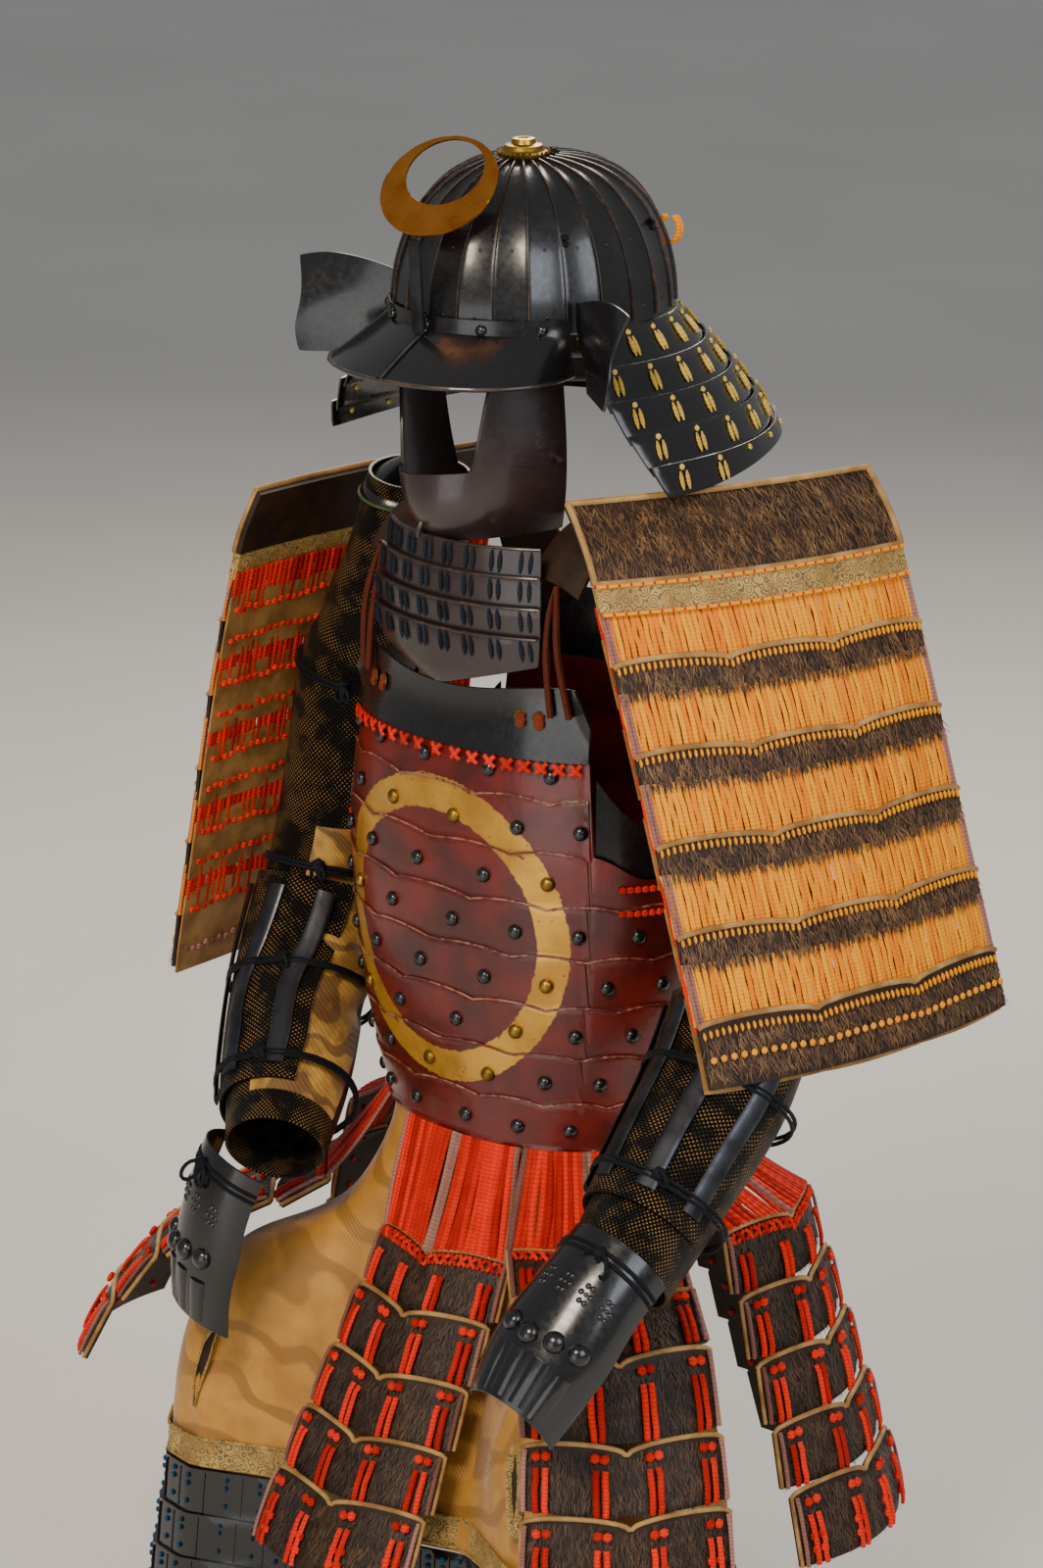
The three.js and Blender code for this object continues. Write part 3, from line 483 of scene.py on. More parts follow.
def sleeve_point(side, bearing, t, out=0.0):
    """A point of a sleeve. bearing is in radians, and t runs from the shoulder to the wrist."""
    row, centre, across, front = sleeve_frame(side, t)
    return (centre + across * (row["wide"] + out) * math.sin(bearing)
            + front * (row["deep"] + out) * math.cos(bearing))


class Patch:
    """A stretch of surface as a grid of points. u runs to the right and v down, seen from outside."""

    def __init__(self, place, across=24, down=10):
        points = [[place(j / across, i / down) for j in range(across + 1)] for i in range(down + 1)]
        self.grid = np.array(points, float)
        right = np.gradient(self.grid, axis=1)
        below = np.gradient(self.grid, axis=0)
        self.normal = unit(np.cross(below, right))
        self.below = unit(below)

    def at(self, u, v, out=0.0):
        """The points at u, v, moved out, with their normals and the directions down the surface."""
        u, v = np.broadcast_arrays(np.atleast_1d(np.asarray(u, float)), np.asarray(v, float))
        rows, columns = self.grid.shape[0] - 1, self.grid.shape[1] - 1
        y = np.clip(v, 0, 1) * rows
        x = np.clip(u, 0, 1) * columns
        i = np.minimum(y.astype(int), rows - 1)
        j = np.minimum(x.astype(int), columns - 1)
        fy, fx = (y - i)[:, None], (x - j)[:, None]

        def read(field):
            top = field[i, j] * (1 - fx) + field[i, j + 1] * fx
            return top * (1 - fy) + (field[i + 1, j] * (1 - fx) + field[i + 1, j + 1] * fx) * fy

        normal = unit(read(self.normal))
        return read(self.grid) + normal * np.asarray(out, float).reshape(-1, 1), normal, read(self.below)


class Skin:
    """The outside of some of the frame's nodes, read by rays."""

    def __init__(self, *names):
        points, faces = [], []
        for name in names:
            mesh = NODES[name].data
            start = len(points)
            points += [vertex.co / MM for vertex in mesh.vertices]
            faces += [[start + n for n in polygon.vertices] for polygon in mesh.polygons]
        self.tree = BVHTree.FromPolygons(points, faces)

    def round_about(self, bearing, z, centre=(0.0, 0.0), inside=False, fallback=100.0):
        """The point that a level ray towards the centre meets, at a bearing in degrees and a height."""
        outward = Vector(outward_at(bearing))
        middle = Vector((centre[0], centre[1], z))
        start = middle if inside else middle + outward * 700
        hit = self.tree.ray_cast(start, outward if inside else -outward)[0]
        return hit or middle + outward * fallback


# Piles of small pieces, joined into one mesh each

class Pile:
    """Points and faces of many small pieces, each point with its tint, its edge mark and its flat place."""

    def __init__(self):
        self.points, self.faces, self.tints, self.edges, self.uvs, self.count = [], [], [], [], [], 0

    def add(self, points, faces, tint=0.5, edge=0.0, uv=None):
        points = np.asarray(points, float).reshape(-1, 3)
        n = len(points)
        self.points.append(points)
        self.faces += [tuple(self.count + k for k in face) for face in faces]
        self.tints.append(np.broadcast_to(np.asarray(tint, float), n))
        self.edges.append(np.broadcast_to(np.asarray(edge, float), n))
        self.uvs.append(np.zeros((n, 2)) if uv is None else np.asarray(uv, float).reshape(-1, 2))
        self.count += n

    def sweep(self, path, normals, half_width, half_height, sides=6, tint=0.5, closed=False,
              point_ends=False):
        """A flat or round cord along a path: half_width across the surface and half_height out of it."""
        path = np.asarray(path, float)
        normals = np.broadcast_to(np.asarray(normals, float), path.shape)
        tangent = np.roll(path, -1, 0) - np.roll(path, 1, 0) if closed else np.gradient(path, axis=0)
        tangent = unit(tangent)
        across = unit(np.cross(tangent, normals))
        out = np.cross(across, tangent)
        n = len(path)
        turn = (np.arange(sides) * math.tau / sides)[None, :, None]
        size = np.ones((n, 1, 1))
        if point_ends:
            size[0] = size[-1] = 0.35
        ring = path[:, None] + size * (half_width * np.cos(turn) * across[:, None]
                                       + half_height * np.sin(turn) * out[:, None])
        faces = []
        for i in range(n if closed else n - 1):
            a, b = i * sides, (i + 1) % n * sides
            for j in range(sides):
                k = (j + 1) % sides
                faces.append((a + j, b + j, b + k, a + k))
        if not closed:
            faces.append(tuple(range(sides)))
            faces.append(tuple(reversed(range((n - 1) * sides, n * sides))))
        self.add(ring, faces, tint)

    def wall(self, patch, thickness, closed=False, edge=None, uv=None, out=0.0):
        """A wall whose outer face is a patch, moved out. A closed one is a tube, whose u = 1 meets u = 0."""
        grid = patch.grid + patch.normal * out
        rows, columns = grid.shape[:2]
        deep = rows * columns
        inner = grid - patch.normal * thickness
        if closed:
            grid[:, -1], inner[:, -1] = grid[:, 0], inner[:, 0]
        faces = []
        for i in range(rows - 1):
            for j in range(columns - 1):
                a = i * columns + j
                b = a + columns
                faces.append((a, b, b + 1, a + 1))
                faces.append((deep + a + 1, deep + b + 1, deep + b, deep + a))
        last = (rows - 1) * columns
        for j in range(columns - 1):
            faces.append((j, j + 1, deep + j + 1, deep + j))
            faces.append((last + j + 1, last + j, deep + last + j, deep + last + j + 1))
        for i in range(0 if closed else rows - 1):
            a, b = i * columns, (i + 1) * columns
            faces.append((b, a, deep + a, deep + b))
            c, d = a + columns - 1, b + columns - 1
            faces.append((c, d, deep + d, deep + c))
        mark = np.zeros((rows, columns)) if edge is None else edge
        flat = None if uv is None else np.concatenate([uv.reshape(-1, 2)] * 2)
        self.add(np.concatenate([grid.reshape(-1, 3), inner.reshape(-1, 3)]), faces,
                 0.5, np.concatenate([mark.ravel(), mark.ravel() * 0]), flat)

    def line(self, patch, u, v, out, *size, tint=0.5):
        """A cord along a patch. size is its half width and half height, and the number of its sides."""
        path, normals, _ = patch.at(u, v, out)
        self.sweep(path, normals, *size, tint=tint)

    def dot(self, kind, spot, outward, size, tint=0.5):
        """One copy of a template on a spot."""
        self.stamp(kind, [spot], [outward], [DOWN], size, tint)

    def stamp(self, kind, places, normals, below, size, tint=0.5):
        """Copies of a template, whose z is out of the surface and whose -y is down it."""
        points, faces = template(kind)
        tint = np.broadcast_to(tint, len(places))
        for k, (place, normal, down) in enumerate(zip(places, normals, below)):
            across = unit(np.cross(unit(-down), normal))
            up = np.cross(normal, across)
            turned = points[:, :1] * across + points[:, 1:2] * up + points[:, 2:] * normal
            self.add(place + turned * size, faces, tint[k])

    def hairs(self, patch, u, v, length, width, draw, lift):
        """Stiff hairs that lie down a patch, from roots at u, v."""
        root, normal, down = patch.at(u, v)
        n = len(root)
        side = unit(np.cross(down, normal))
        long = length * draw.uniform(0.6, 1.25, (n, 1))
        sway = draw.normal(0, 0.35, (n, 1))
        rise = lift * draw.uniform(0.4, 1.6, (n, 1))
        middle = root + long * 0.5 * (down + side * sway * 0.6 + normal * rise)
        tip = root + long * (down * 0.95 + side * sway + normal * rise * 0.7)
        points = np.stack([root - side * width, root + side * width, middle - side * width * 0.75,
                           middle + side * width * 0.75, tip], axis=1)
        faces = [(b, b + 1, b + 3, b + 2) for b in range(0, 5 * n, 5)]
        faces += [(b + 2, b + 3, b + 4) for b in range(0, 5 * n, 5)]
        shade = draw.uniform(0, 1, (n, 1)) + np.array([-0.15, -0.15, 0, 0, 0.25])
        self.add(points, faces, shade.ravel())

    def make(self, name, finish_name, slot, smooth=40.0, stands_for=(), weld=False):
        """The pile as one piece of the armour."""
        mesh = bpy.data.meshes.new(name)
        mesh.from_pydata((np.concatenate(self.points) * MM).tolist(), [], self.faces)
        for key, values in (("tint", self.tints), ("edge", self.edges)):
            attribute = mesh.attributes.new(key, "FLOAT", "POINT")
            attribute.data.foreach_set("value", np.concatenate(values).astype(np.float32))
        corner = np.zeros(len(mesh.loops), np.int32)
        mesh.loops.foreach_get("vertex_index", corner)
        layer = mesh.uv_layers.new(name="UVMap")
        layer.data.foreach_set("uv", (np.concatenate(self.uvs)[corner] * MM).astype(np.float32).ravel())
        mesh.materials.append(finish(finish_name))
        piece = bpy.data.objects.new(name, mesh)
        if weld:
            bpy.context.scene.collection.objects.link(piece)
            pick(piece)
            bpy.ops.object.mode_set(mode="EDIT")
            bpy.ops.mesh.select_all(action="SELECT")
            bpy.ops.mesh.remove_doubles(threshold=1e-6)
            bpy.ops.object.mode_set(mode="OBJECT")
        return settle(piece, smooth, stands_for)


def pick(piece):
    """Selects one piece alone and makes it the active one."""
    bpy.ops.object.select_all(action="DESELECT")
    piece.select_set(True)
    bpy.context.view_layer.objects.active = piece


def settle(piece, smooth, stands_for=()):
    """Puts a piece on the armour's body and hides the nodes that it stands for."""
    if piece.name not in bpy.context.scene.collection.objects:
        bpy.context.scene.collection.objects.link(piece)
    pick(piece)
    if smooth:
        bpy.ops.object.shade_smooth_by_angle(angle=math.radians(smooth))
    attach(piece, "root")
    if stands_for:
        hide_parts(*stands_for)
    return piece


def shape_template(segments, rings, flat, wide=1.0, half=False):
    """A small round shape of 1 mm radius: an egg, or the outer half of one."""
    bpy.ops.object.select_all(action="DESELECT")
    bpy.ops.mesh.primitive_uv_sphere_add(segments=segments, ring_count=rings, radius=1.0)
    piece = bpy.context.object
    bpy.ops.object.mode_set(mode="EDIT")
    if half:
        bpy.ops.mesh.select_all(action="SELECT")
        bpy.ops.mesh.bisect(plane_co=(0, 0, -0.2), plane_no=(0, 0, 1), clear_inner=True)
    bpy.ops.mesh.select_all(action="SELECT")
    bpy.ops.transform.resize(value=(wide, 1.0, flat))
    bpy.ops.object.mode_set(mode="OBJECT")
    points = np.array([vertex.co[:] for vertex in piece.data.vertices])
    faces = [tuple(polygon.vertices) for polygon in piece.data.polygons]
    bpy.data.objects.remove(piece)
    return points, faces


@lru_cache(None)
def template(kind):
    """The small shapes of rivets and bosses, of knots and lace dots, and of upright stitches."""
    return {
        "dome": lambda: shape_template(12, 8, 0.7, 1.0, True),
        "knot": lambda: shape_template(6, 4, 0.6),
        "bar": lambda: shape_template(6, 4, 0.5, 0.38),
    }[kind]()


def refined(node, finish_name, levels=2, sharp=40.0, creases=()):
    """A finely rounded copy of a node, its sharp edges kept, with the given creases."""
    piece = bpy.data.objects.new(node + "_finished", NODES[node].data.copy())
    bpy.context.scene.collection.objects.link(piece)
    piece.data.materials.clear()
    piece.data.materials.append(finish(finish_name))
    pick(piece)
    bpy.ops.object.mode_set(mode="EDIT")
    bpy.ops.mesh.select_all(action="SELECT")
    if piece.data.has_custom_normals:
        bpy.ops.mesh.customdata_custom_splitnormals_clear()
    bpy.ops.mesh.remove_doubles(threshold=1e-5)
    bpy.ops.mesh.tris_convert_to_quads(face_threshold=math.radians(40), shape_threshold=math.radians(70))
    bpy.ops.mesh.select_all(action="DESELECT")
    bpy.ops.object.mode_set(mode="OBJECT")
    shape = bmesh.new()
    shape.from_mesh(piece.data)
    crease = shape.edges.layers.float.get("crease_edge") or shape.edges.layers.float.new("crease_edge")
    for edge in shape.edges:
        if edge.calc_face_angle(0.0) > math.radians(sharp):
            edge[crease] = 0.9
    shape.to_mesh(piece.data)
    shape.free()
    modifier = piece.modifiers.new("rounding", "SUBSURF")
    modifier.levels = modifier.render_levels = levels
    bpy.ops.object.modifier_apply(modifier=modifier.name)
    fold(piece, creases)
    return settle(piece, 40.0, (node,))


def fold(piece, creases):
    """Presses soft troughs and ridges into a cloth: middle, direction, length, width and depth of each."""
    if not creases:
        return
    n = len(piece.data.vertices)
    points, normals = np.zeros(3 * n, np.float32), np.zeros(3 * n, np.float32)
    piece.data.vertices.foreach_get("co", points)
    piece.data.vertices.foreach_get("normal", normals)
    points, normals = points.reshape(-1, 3) / MM, normals.reshape(-1, 3)
    move = np.zeros(points.shape)
    for middle, direction, length, width, depth in creases:
        line = np.array(direction, float) / np.linalg.norm(direction)
        reach = points - np.array(middle)
        along = reach @ line
        away = np.linalg.norm(reach - along[:, None] * line, axis=1)
        share = np.exp(-(away / width) ** 2) * np.clip(1 - (2 * along / length) ** 2, 0, 1)
        middle_normal = normals[np.argmin(np.linalg.norm(reach, axis=1))]
        move += (1.5 * depth * share)[:, None] * middle_normal
    piece.data.vertices.foreach_set("co", ((points + move) * MM).astype(np.float32).ravel())
    piece.data.update()


# Helmet, crest and neck guard

HEAD = (0.0, -14.0)
HEAD_TURN = 2.0
BOWL = {"base": 166.0, "width": 102.0, "length": 118.0, "height": 120.0, "lean": 14.0, "ribs": 24, "rib": 2.4}
VISOR = {"half": 61.0, "edge": 134.8}


def bowl_point(bearing, rise, out=0.0):
    """A point of the helmet's bowl. rise runs from its rim to its crown."""
    turn = math.radians(bearing)
    angle = rise * math.pi / 2
    ring = math.cos(angle) ** mix(0.62, 0.9, (1 + math.cos(turn)) / 2)
    x = (BOWL["width"] + out) * ring * math.sin(turn)
    y = -(BOWL["length"] + out) * ring * math.cos(turn) - BOWL["lean"] * rise ** 2
    z = BOWL["base"] + (BOWL["height"] + out) * math.sin(angle) ** 0.95
    spin = math.radians(HEAD_TURN)
    turned_x = x * math.cos(spin) - y * math.sin(spin)
    turned_y = x * math.sin(spin) + y * math.cos(spin)
    return (HEAD[0] + turned_x, HEAD[1] + turned_y, z)


BEADS = 28
RIVET_RISES = (0.06, 0.34)


def build_helmet():
    bowl = Patch(lambda u, v: bowl_point(360 * u, 0.93 * (1 - v), plate_swell(u)), 192, 20)
    shell, ridges, rivets, beads, edge = Pile(), Pile(), Pile(), Pile(), Pile()
    ridge, studs, loops, knobs = Pile(), Pile(), Pile(), Pile()
    shell.wall(bowl, 2.4, closed=True)
    shell.make("bowl_plates", "helmet lacquer", "black_lacquer", stands_for=("helmet_bowl",), weld=True)
    middle = np.array((HEAD[0], HEAD[1], 180.0))
    pitch = 360 / BOWL["ribs"]
    for k in range(BOWL["ribs"]):
        path = np.array([bowl_point(pitch * k, mix(0.015, 0.925, t), 2.6) for t in span(22)])
        ridges.sweep(path, unit(path - middle), 0.9, 1.7, 6)
        for rise in RIVET_RISES:
            spot = np.array(bowl_point(pitch * (k + 0.5), rise, 0.6))
            rivets.dot("dome", spot, unit(spot - middle), 1.4)
    ridges.make("bowl_ridges", "worn ridge", "black_lacquer")
    rivets.make("bowl_rivets", "helmet lacquer", "black_lacquer")

    refined("crown_fitting", "gilt", 2, 25)
    low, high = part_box("crown_fitting")
    crown = (low + high) / 2 / MM
    for k in range(BEADS):
        turn = math.tau * k / BEADS
        outward = np.array((math.cos(turn), math.sin(turn), 0.0))
        beads.dot("knot", np.array((crown.x, crown.y, low.z / MM + 3.4)) + outward * 20.3, outward, 1.7)
    beads.make("crown_beading", "gilt", "gilt")

    refined("visor", "black lacquer")
    skin = Skin("visor")
    bearings = np.linspace(-VISOR["half"] + 0.8, VISOR["half"] - 0.8, 46) + HEAD_TURN
    edge.sweep([skin.round_about(b, VISOR["edge"], HEAD) for b in bearings], UP, 1.7, 1.5, 8)
    edge.make("visor_rim", "worn ridge", "black_lacquer")
    heights = np.linspace(175, VISOR["edge"] + 0.5, 14)
    spine = np.array([skin.round_about(HEAD_TURN, z, HEAD) for z in heights])
    ridge.sweep(spine + (0, -0.4, 0.6), (0, -0.5, 0.85), 2.6, 2.0, 8)
    ridge.make("visor_ridge", "iron", "black_lacquer")
    for bearing in (-46, -23, 0, 23, 46):
        spot = np.array(skin.round_about(bearing + HEAD_TURN, 170.0, HEAD))
        studs.dot("dome", spot, outward_at(bearing), 4.6)
    studs.make("visor_rivets", "black lacquer", "black_lacquer")

    refined("crest", "copper", 1)
    refined("crest_prong", "iron", 1)
    for side in SIDES:
        refined("turned_wing_" + side, "black lacquer")
    back = np.array(bowl_point(140, 0.30, 3.0))
    for lean in (-5, 5):
        path = [back + np.array((6.6 * math.sin(a) + 1, 4 + 4.4 * math.sin(a) + lean * 0.3, 11 * math.cos(a)))
                for a in np.linspace(0.4, math.tau - 0.4, 18)]
        loops.sweep(path, (0.5, 0.85, 0), 2.2, 2.2, 8)
    loops.make("helmet_back_loops", "orange lace", "orange_lace")
    for bearing in (62, -62, 118, -118):
        spot = np.array(bowl_point(bearing, 0.36, 2.0))
        for drop in (0, 5.0):
            knobs.dot("knot", spot + UP * drop, unit(spot - middle), 3.2)
    knobs.make("bowl_tie_knots", "black cord", "cord")


def plate_swell(u):
    """Between two ridges a helmet plate is a little hollow."""
    place = u * BOWL["ribs"] % 1.0
    return BOWL["rib"] * (0.35 + 0.65 * (2 * abs(place - 0.5)) ** 2)


# Where each neck lame's front edge lies, in degrees from the face
NECK_FRONTS = (64, 66, 69, 73, 77)
# A ray that comes nearer to the head's middle than this, in mm, has met nothing
NECK_MISS = 60


def build_neck_guard():
    laces, dots = Pile(), Pile()
    for k, front in enumerate(NECK_FRONTS):
        node = "neck_lame_%d" % (k + 1)
        refined(node, "black lacquer")
        skin = Skin(node)
        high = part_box(node)[1].z / MM
        places = np.linspace(front + 5, 180, 8)
        for n, bearing in enumerate([*places, *-places[:-1]]):
            for shift in (-1.0, 1.0):
                turn = bearing + HEAD_TURN + shift
                path = np.array([skin.round_about(turn, mix(high - 7, high - 21, t), HEAD, fallback=0.0)
                                 for t in (0, 0.3, 0.7, 1)])
                if np.linalg.norm(path[:, :2] - HEAD, axis=1).min() < NECK_MISS:
                    continue
                outward = outward_at(turn, 0.35)
                laces.sweep(path + outward * 1.4, outward, 1.9, 1.5, 6, 0.3 + 0.1 * (n % 5), point_ends=True)
            turn = bearing + HEAD_TURN
            for inside in (False, True):
                spot = skin.round_about(turn, high - (14 if inside else 4), HEAD, inside, 0.0)
                if (spot.xy - Vector(HEAD)).length < NECK_MISS:
                    continue
                away = outward_at(turn, 0.3) * (-1 if inside else 1)
                dots.dot("knot", np.array(spot) + away * 0.6, unit(away), 2.6, 0.7)
    laces.make("neck_guard_lacing", "pale lace", "orange_lace")
    dots.make("neck_guard_lace_dots", "pale lace", "orange_lace")


# Mask and throat guard

def build_mask():
    refined("face_mask", "brown lacquer")
    skin = Skin("face_mask")
    fittings, laces, edges = Pile(), Pile(), Pile()
    for bearing in (58, -72):
        spot = np.array(skin.round_about(bearing, 62, HEAD))
        outward = outward_at(bearing)
        fittings.sweep([spot - outward, spot + outward * 9], UP, 2.6, 2.6, 10)
    chin = np.array(skin.round_about(-7, 6, HEAD))
    fittings.sweep([chin + (0, 0, 2), chin + (0, -4, -5), chin + (0, -4, -9)], (0, -1, 0), 2.4, 2.4, 10)
    fittings.make("mask_pegs", "brown lacquer", "brown_lacquer")
    for k in range(4):
        node = "throat_lame_%d" % (k + 1)
        refined(node, "brown lacquer")
        tree = Skin(node).tree
        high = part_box(node)[1] / MM
        half = high.x - 3

        def front(x, z):
            hit = tree.ray_cast(Vector((x, -400, z)), Vector((0, 1, 0)))[0]
            return np.array(hit) if hit else None

        top = [front(x, high.z - 1.2) for x in np.linspace(-half, half, 40)]
        edges.sweep([p for p in top if p is not None], UP, 1.2, 1.2, 6)
        for n, x in enumerate(np.linspace(-half + 8, half - 8, 8)):
            for shift in (-3.2, 3.2):
                path = [front(x + shift, mix(high.z - 3, high.z - 20, t)) for t in (0, 0.35, 0.7, 1)]
                if all(p is not None for p in path):
                    laces.sweep(np.array(path) + (0, -1.3, 0), (0, -1, 0), 1.8, 1.5, 6, 0.25 + 0.12 * (n % 4),
                                point_ends=True)
    laces.make("throat_lacing", "navy lace", "cord")
    edges.make("throat_lame_rims", "worn ridge", "brown_lacquer")


# Cuirass

def cusp(bearing):
    """The wavy upper edge of a plate: shallow arcs between small points."""
    return 5.0 * abs(math.sin(math.pi * bearing / 24)) ** 0.7 - 3.0


def plate_out(bearing, z):
    """How far the plates stand out there, and how near their upper edges are."""
    for k in range(8, -1, -1):
        edge = FRONT_TOP_Z - PLATE_PITCH * k + (cusp(bearing + 12 * (k % 2)) if k else 40.0)
        if z <= edge:
            depth = (edge - z) / PLATE_PITCH
            return 1.9 * max(0.0, 1 - depth) * ease((edge - z) / 1.5) + 0.3, math.exp(-(edge - z) / 1.8)
    return 0.3, 0.0


def arc_length(bearing, z):
    """The distance round the trunk from the front, in mm, at a height."""
    row = row_at_height("trunk", round(z / 10) * 10)
    turns = np.radians(np.linspace(0, abs(bearing), 24))
    x = row["width"] * np.abs(np.sin(turns)) ** 0.9
    y = row["depth"] * np.abs(np.cos(turns)) ** 0.9
    return math.copysign(float(np.sum(np.hypot(np.diff(x), np.diff(y)))), bearing)


def plate_shell(name, middle, half, nodes, columns, rows=132):
    """A stack of lapping plates as one shell, cut out for the arms."""
    def top(bearing):
        side = abs(bearing)
        low = ARMHOLE_Z - 0.5 - 20 * ease((side - 50) / 20)
        return mix(FRONT_TOP_Z, low, ease((side - 48.6) / 0.8))

    def place(u, v):
        bearing = (2 * u - 1) * half
        z = mix(top(bearing), WAIST_Z, v)
        return trunk_point(middle + bearing, z, plate_out(bearing, z)[0])

    patch = Patch(place, columns, rows)
    edge = np.zeros((rows + 1, columns + 1))
    uv = np.zeros((rows + 1, columns + 1, 2))
    for j in range(columns + 1):
        bearing = (2 * j / columns - 1) * half
        arc = arc_length(bearing, RING["z"]) + (0 if middle == 0 else 2000)
        for i in range(rows + 1):
            z = patch.grid[i, j, 2]
            edge[i, j] = plate_out(bearing, z)[1]
            uv[i, j] = (arc, z)
    shell = Pile()
    shell.wall(patch, 2.4, edge=edge, uv=uv)
    return shell.make(name, "russet lacquer", "russet_lacquer", stands_for=nodes)


def cross_knot(pile, place, normal, size, tint):
    """A lace crossed over itself, as it holds a board to the plates."""
    right = unit(np.cross(UP, normal))
    for lean, rise in ((1, 1.2), (-1, 2.0)):
        path = [place + (right * s * lean + UP * s) * size + normal * (rise + 1.2 * (1 - s * s))
                for s in (-1, -0.5, 0, 0.5, 1)]
        pile.sweep(path, normal, 1.9, 1.3, 6, tint)


KNOT_ROW_Z = -174.5
UNDERARM_KNOTS_Z = (-270, -290)


def build_cuirass():
    plate_shell("cuirass_front", 0, 89, ("front_upper_plates", "front_plates"), 96)
    plate_shell("cuirass_back", 180, 90, ("back_upper_plates", "back_plates"), 96)
    for node in ("chest_board", "back_board"):
        refined(node, "black lacquer")
    for side in SIDES:
        refined("underarm_board_" + side, "black lacquer")
        refined("shoulder_strap_" + side, "hide")
        refined("chest_tie_" + side, "cord", 1, 60)
    lines, rivets, gilt, red, rims, ties = [Pile() for _ in range(6)]
    for middle in (0, 180):
        for k in range(1, 8):
            half = 47.5 if k < 3 else 86.0
            bearings = np.linspace(-half, half, 66)
            path = [trunk_point(middle + b, FRONT_TOP_Z - PLATE_PITCH * k + cusp(b + 12 * (k % 2)), 2.1)
                    for b in bearings]
            lines.sweep(path, [outward_at(middle + b) for b in bearings], 0.9, 0.8, 6)
    lines.make("cuirass_plate_edges", "worn edge", "russet_lacquer")
    for k in range(8):
        for n in range(18):
            bearing = -4 + 20 * n + 10 * (k % 2)
            local = (bearing + 180) % 360 - 180
            z = FRONT_TOP_Z - PLATE_PITCH * (k + 0.55)
            # none at the armholes, nor where front and back meet
            if k < 2 and 46 < abs(local) < 134 or 84 < abs(local) < 96 or (k == 2 and 50 < abs(local) < 130):
                continue
            gap = math.hypot(arc_length(local, RING["z"]), z - RING["z"]) if abs(local) < 90 else math.inf
            chosen = gilt if RING["inner"] < gap < RING["outer"] else rivets
            chosen.dot("dome", np.array(trunk_point(bearing, z, 1.4)), outward_at(bearing),
                       bpy.context.scene.laced_armour.rivet_radius)
    rivets.make("cuirass_rivets", "black lacquer", "black_lacquer")
    gilt.make("cuirass_ring_rivets", "gilt", "gilt")
    for middle in (0, 180):
        for n in range(17):
            bearing = middle - 44 + 5.5 * n
            cross_knot(red, np.array(trunk_point(bearing, KNOT_ROW_Z, 3.0)), outward_at(bearing), 4.4,
                       0.3 + 0.1 * (n % 6))
        for z in UNDERARM_KNOTS_Z:
            for n in range(10):
                for sign in (1, -1):
                    bearing = middle + sign * (60 + 2.6 * n)
                    red.dot("knot", np.array(trunk_point(bearing, z, 3.2)), outward_at(bearing), 3.3,
                            0.2 + 0.1 * (n % 7))
    red.make("cuirass_cross_knots", "red lace", "orange_lace")
    skin = Skin("chest_board")
    for bearing in (36, -36, 42.5, -42.5):
        spot = np.array(skin.round_about(bearing, CHEST_TOP_Z - 24, fallback=110))
        outward = outward_at(bearing)
        side = np.cross(UP, outward)
        circle = [spot + (side * math.cos(a) + UP * math.sin(a)) * 4.6 + outward * 0.6
                  for a in np.linspace(0, math.tau, 16)[:-1]]
        rims.sweep(circle, outward, 1.0, 0.8, 6, closed=True)
        ties.dot("knot", spot + outward * 2, outward, 5.0, 0.4)
        ties.dot("knot", spot + outward * 3 - UP * 5, outward, 5.0, 0.4)
    rims.make("chest_board_eyelets", "gilt", "gilt")
    ties.make("chest_tie_knots", "cord", "cord")


# Shoulder guards

GUARD = {"lean": {"left": 20, "right": 6}, "crown": 54, "band": 22, "lames": 5}
LAME_TOPS = (0.095, 0.285, 0.475, 0.665, 0.855)
GUARD_SEEDS = {"left": 11, "right": 12}
# Cords side by side in the lacing, outside and inside, and the widths in mm that carry fur
GUARD_CORDS = {"outer": 62, "inner": 46}
FUR_WIDTH = {"crown": 260, "lame": 280}


def scallop(u, humps):
    """A row of round humps, from 0 between them to 1 on top."""
    return abs(math.sin(math.pi * u * humps)) ** 0.5


def ribbons(pile, patch, count, draw, out=1.8, bulge=1.6):
    """Close upright lacing: flat braids side by side, each a little slack."""
    width = np.linalg.norm(patch.grid[0, -1] - patch.grid[0, 0]) / count
    v = span(6)
    for n in range(count):
        slack = draw.uniform(0.2, 1.0)
        u = (n + 0.5) / count + draw.normal(0, 0.0012, 6)
        path, normals, _ = patch.at(u, v, out + bulge * slack * np.sin(math.pi * v))
        pile.sweep(path, normals, width * 0.47, 1.3, 6, draw.uniform(0, 1))


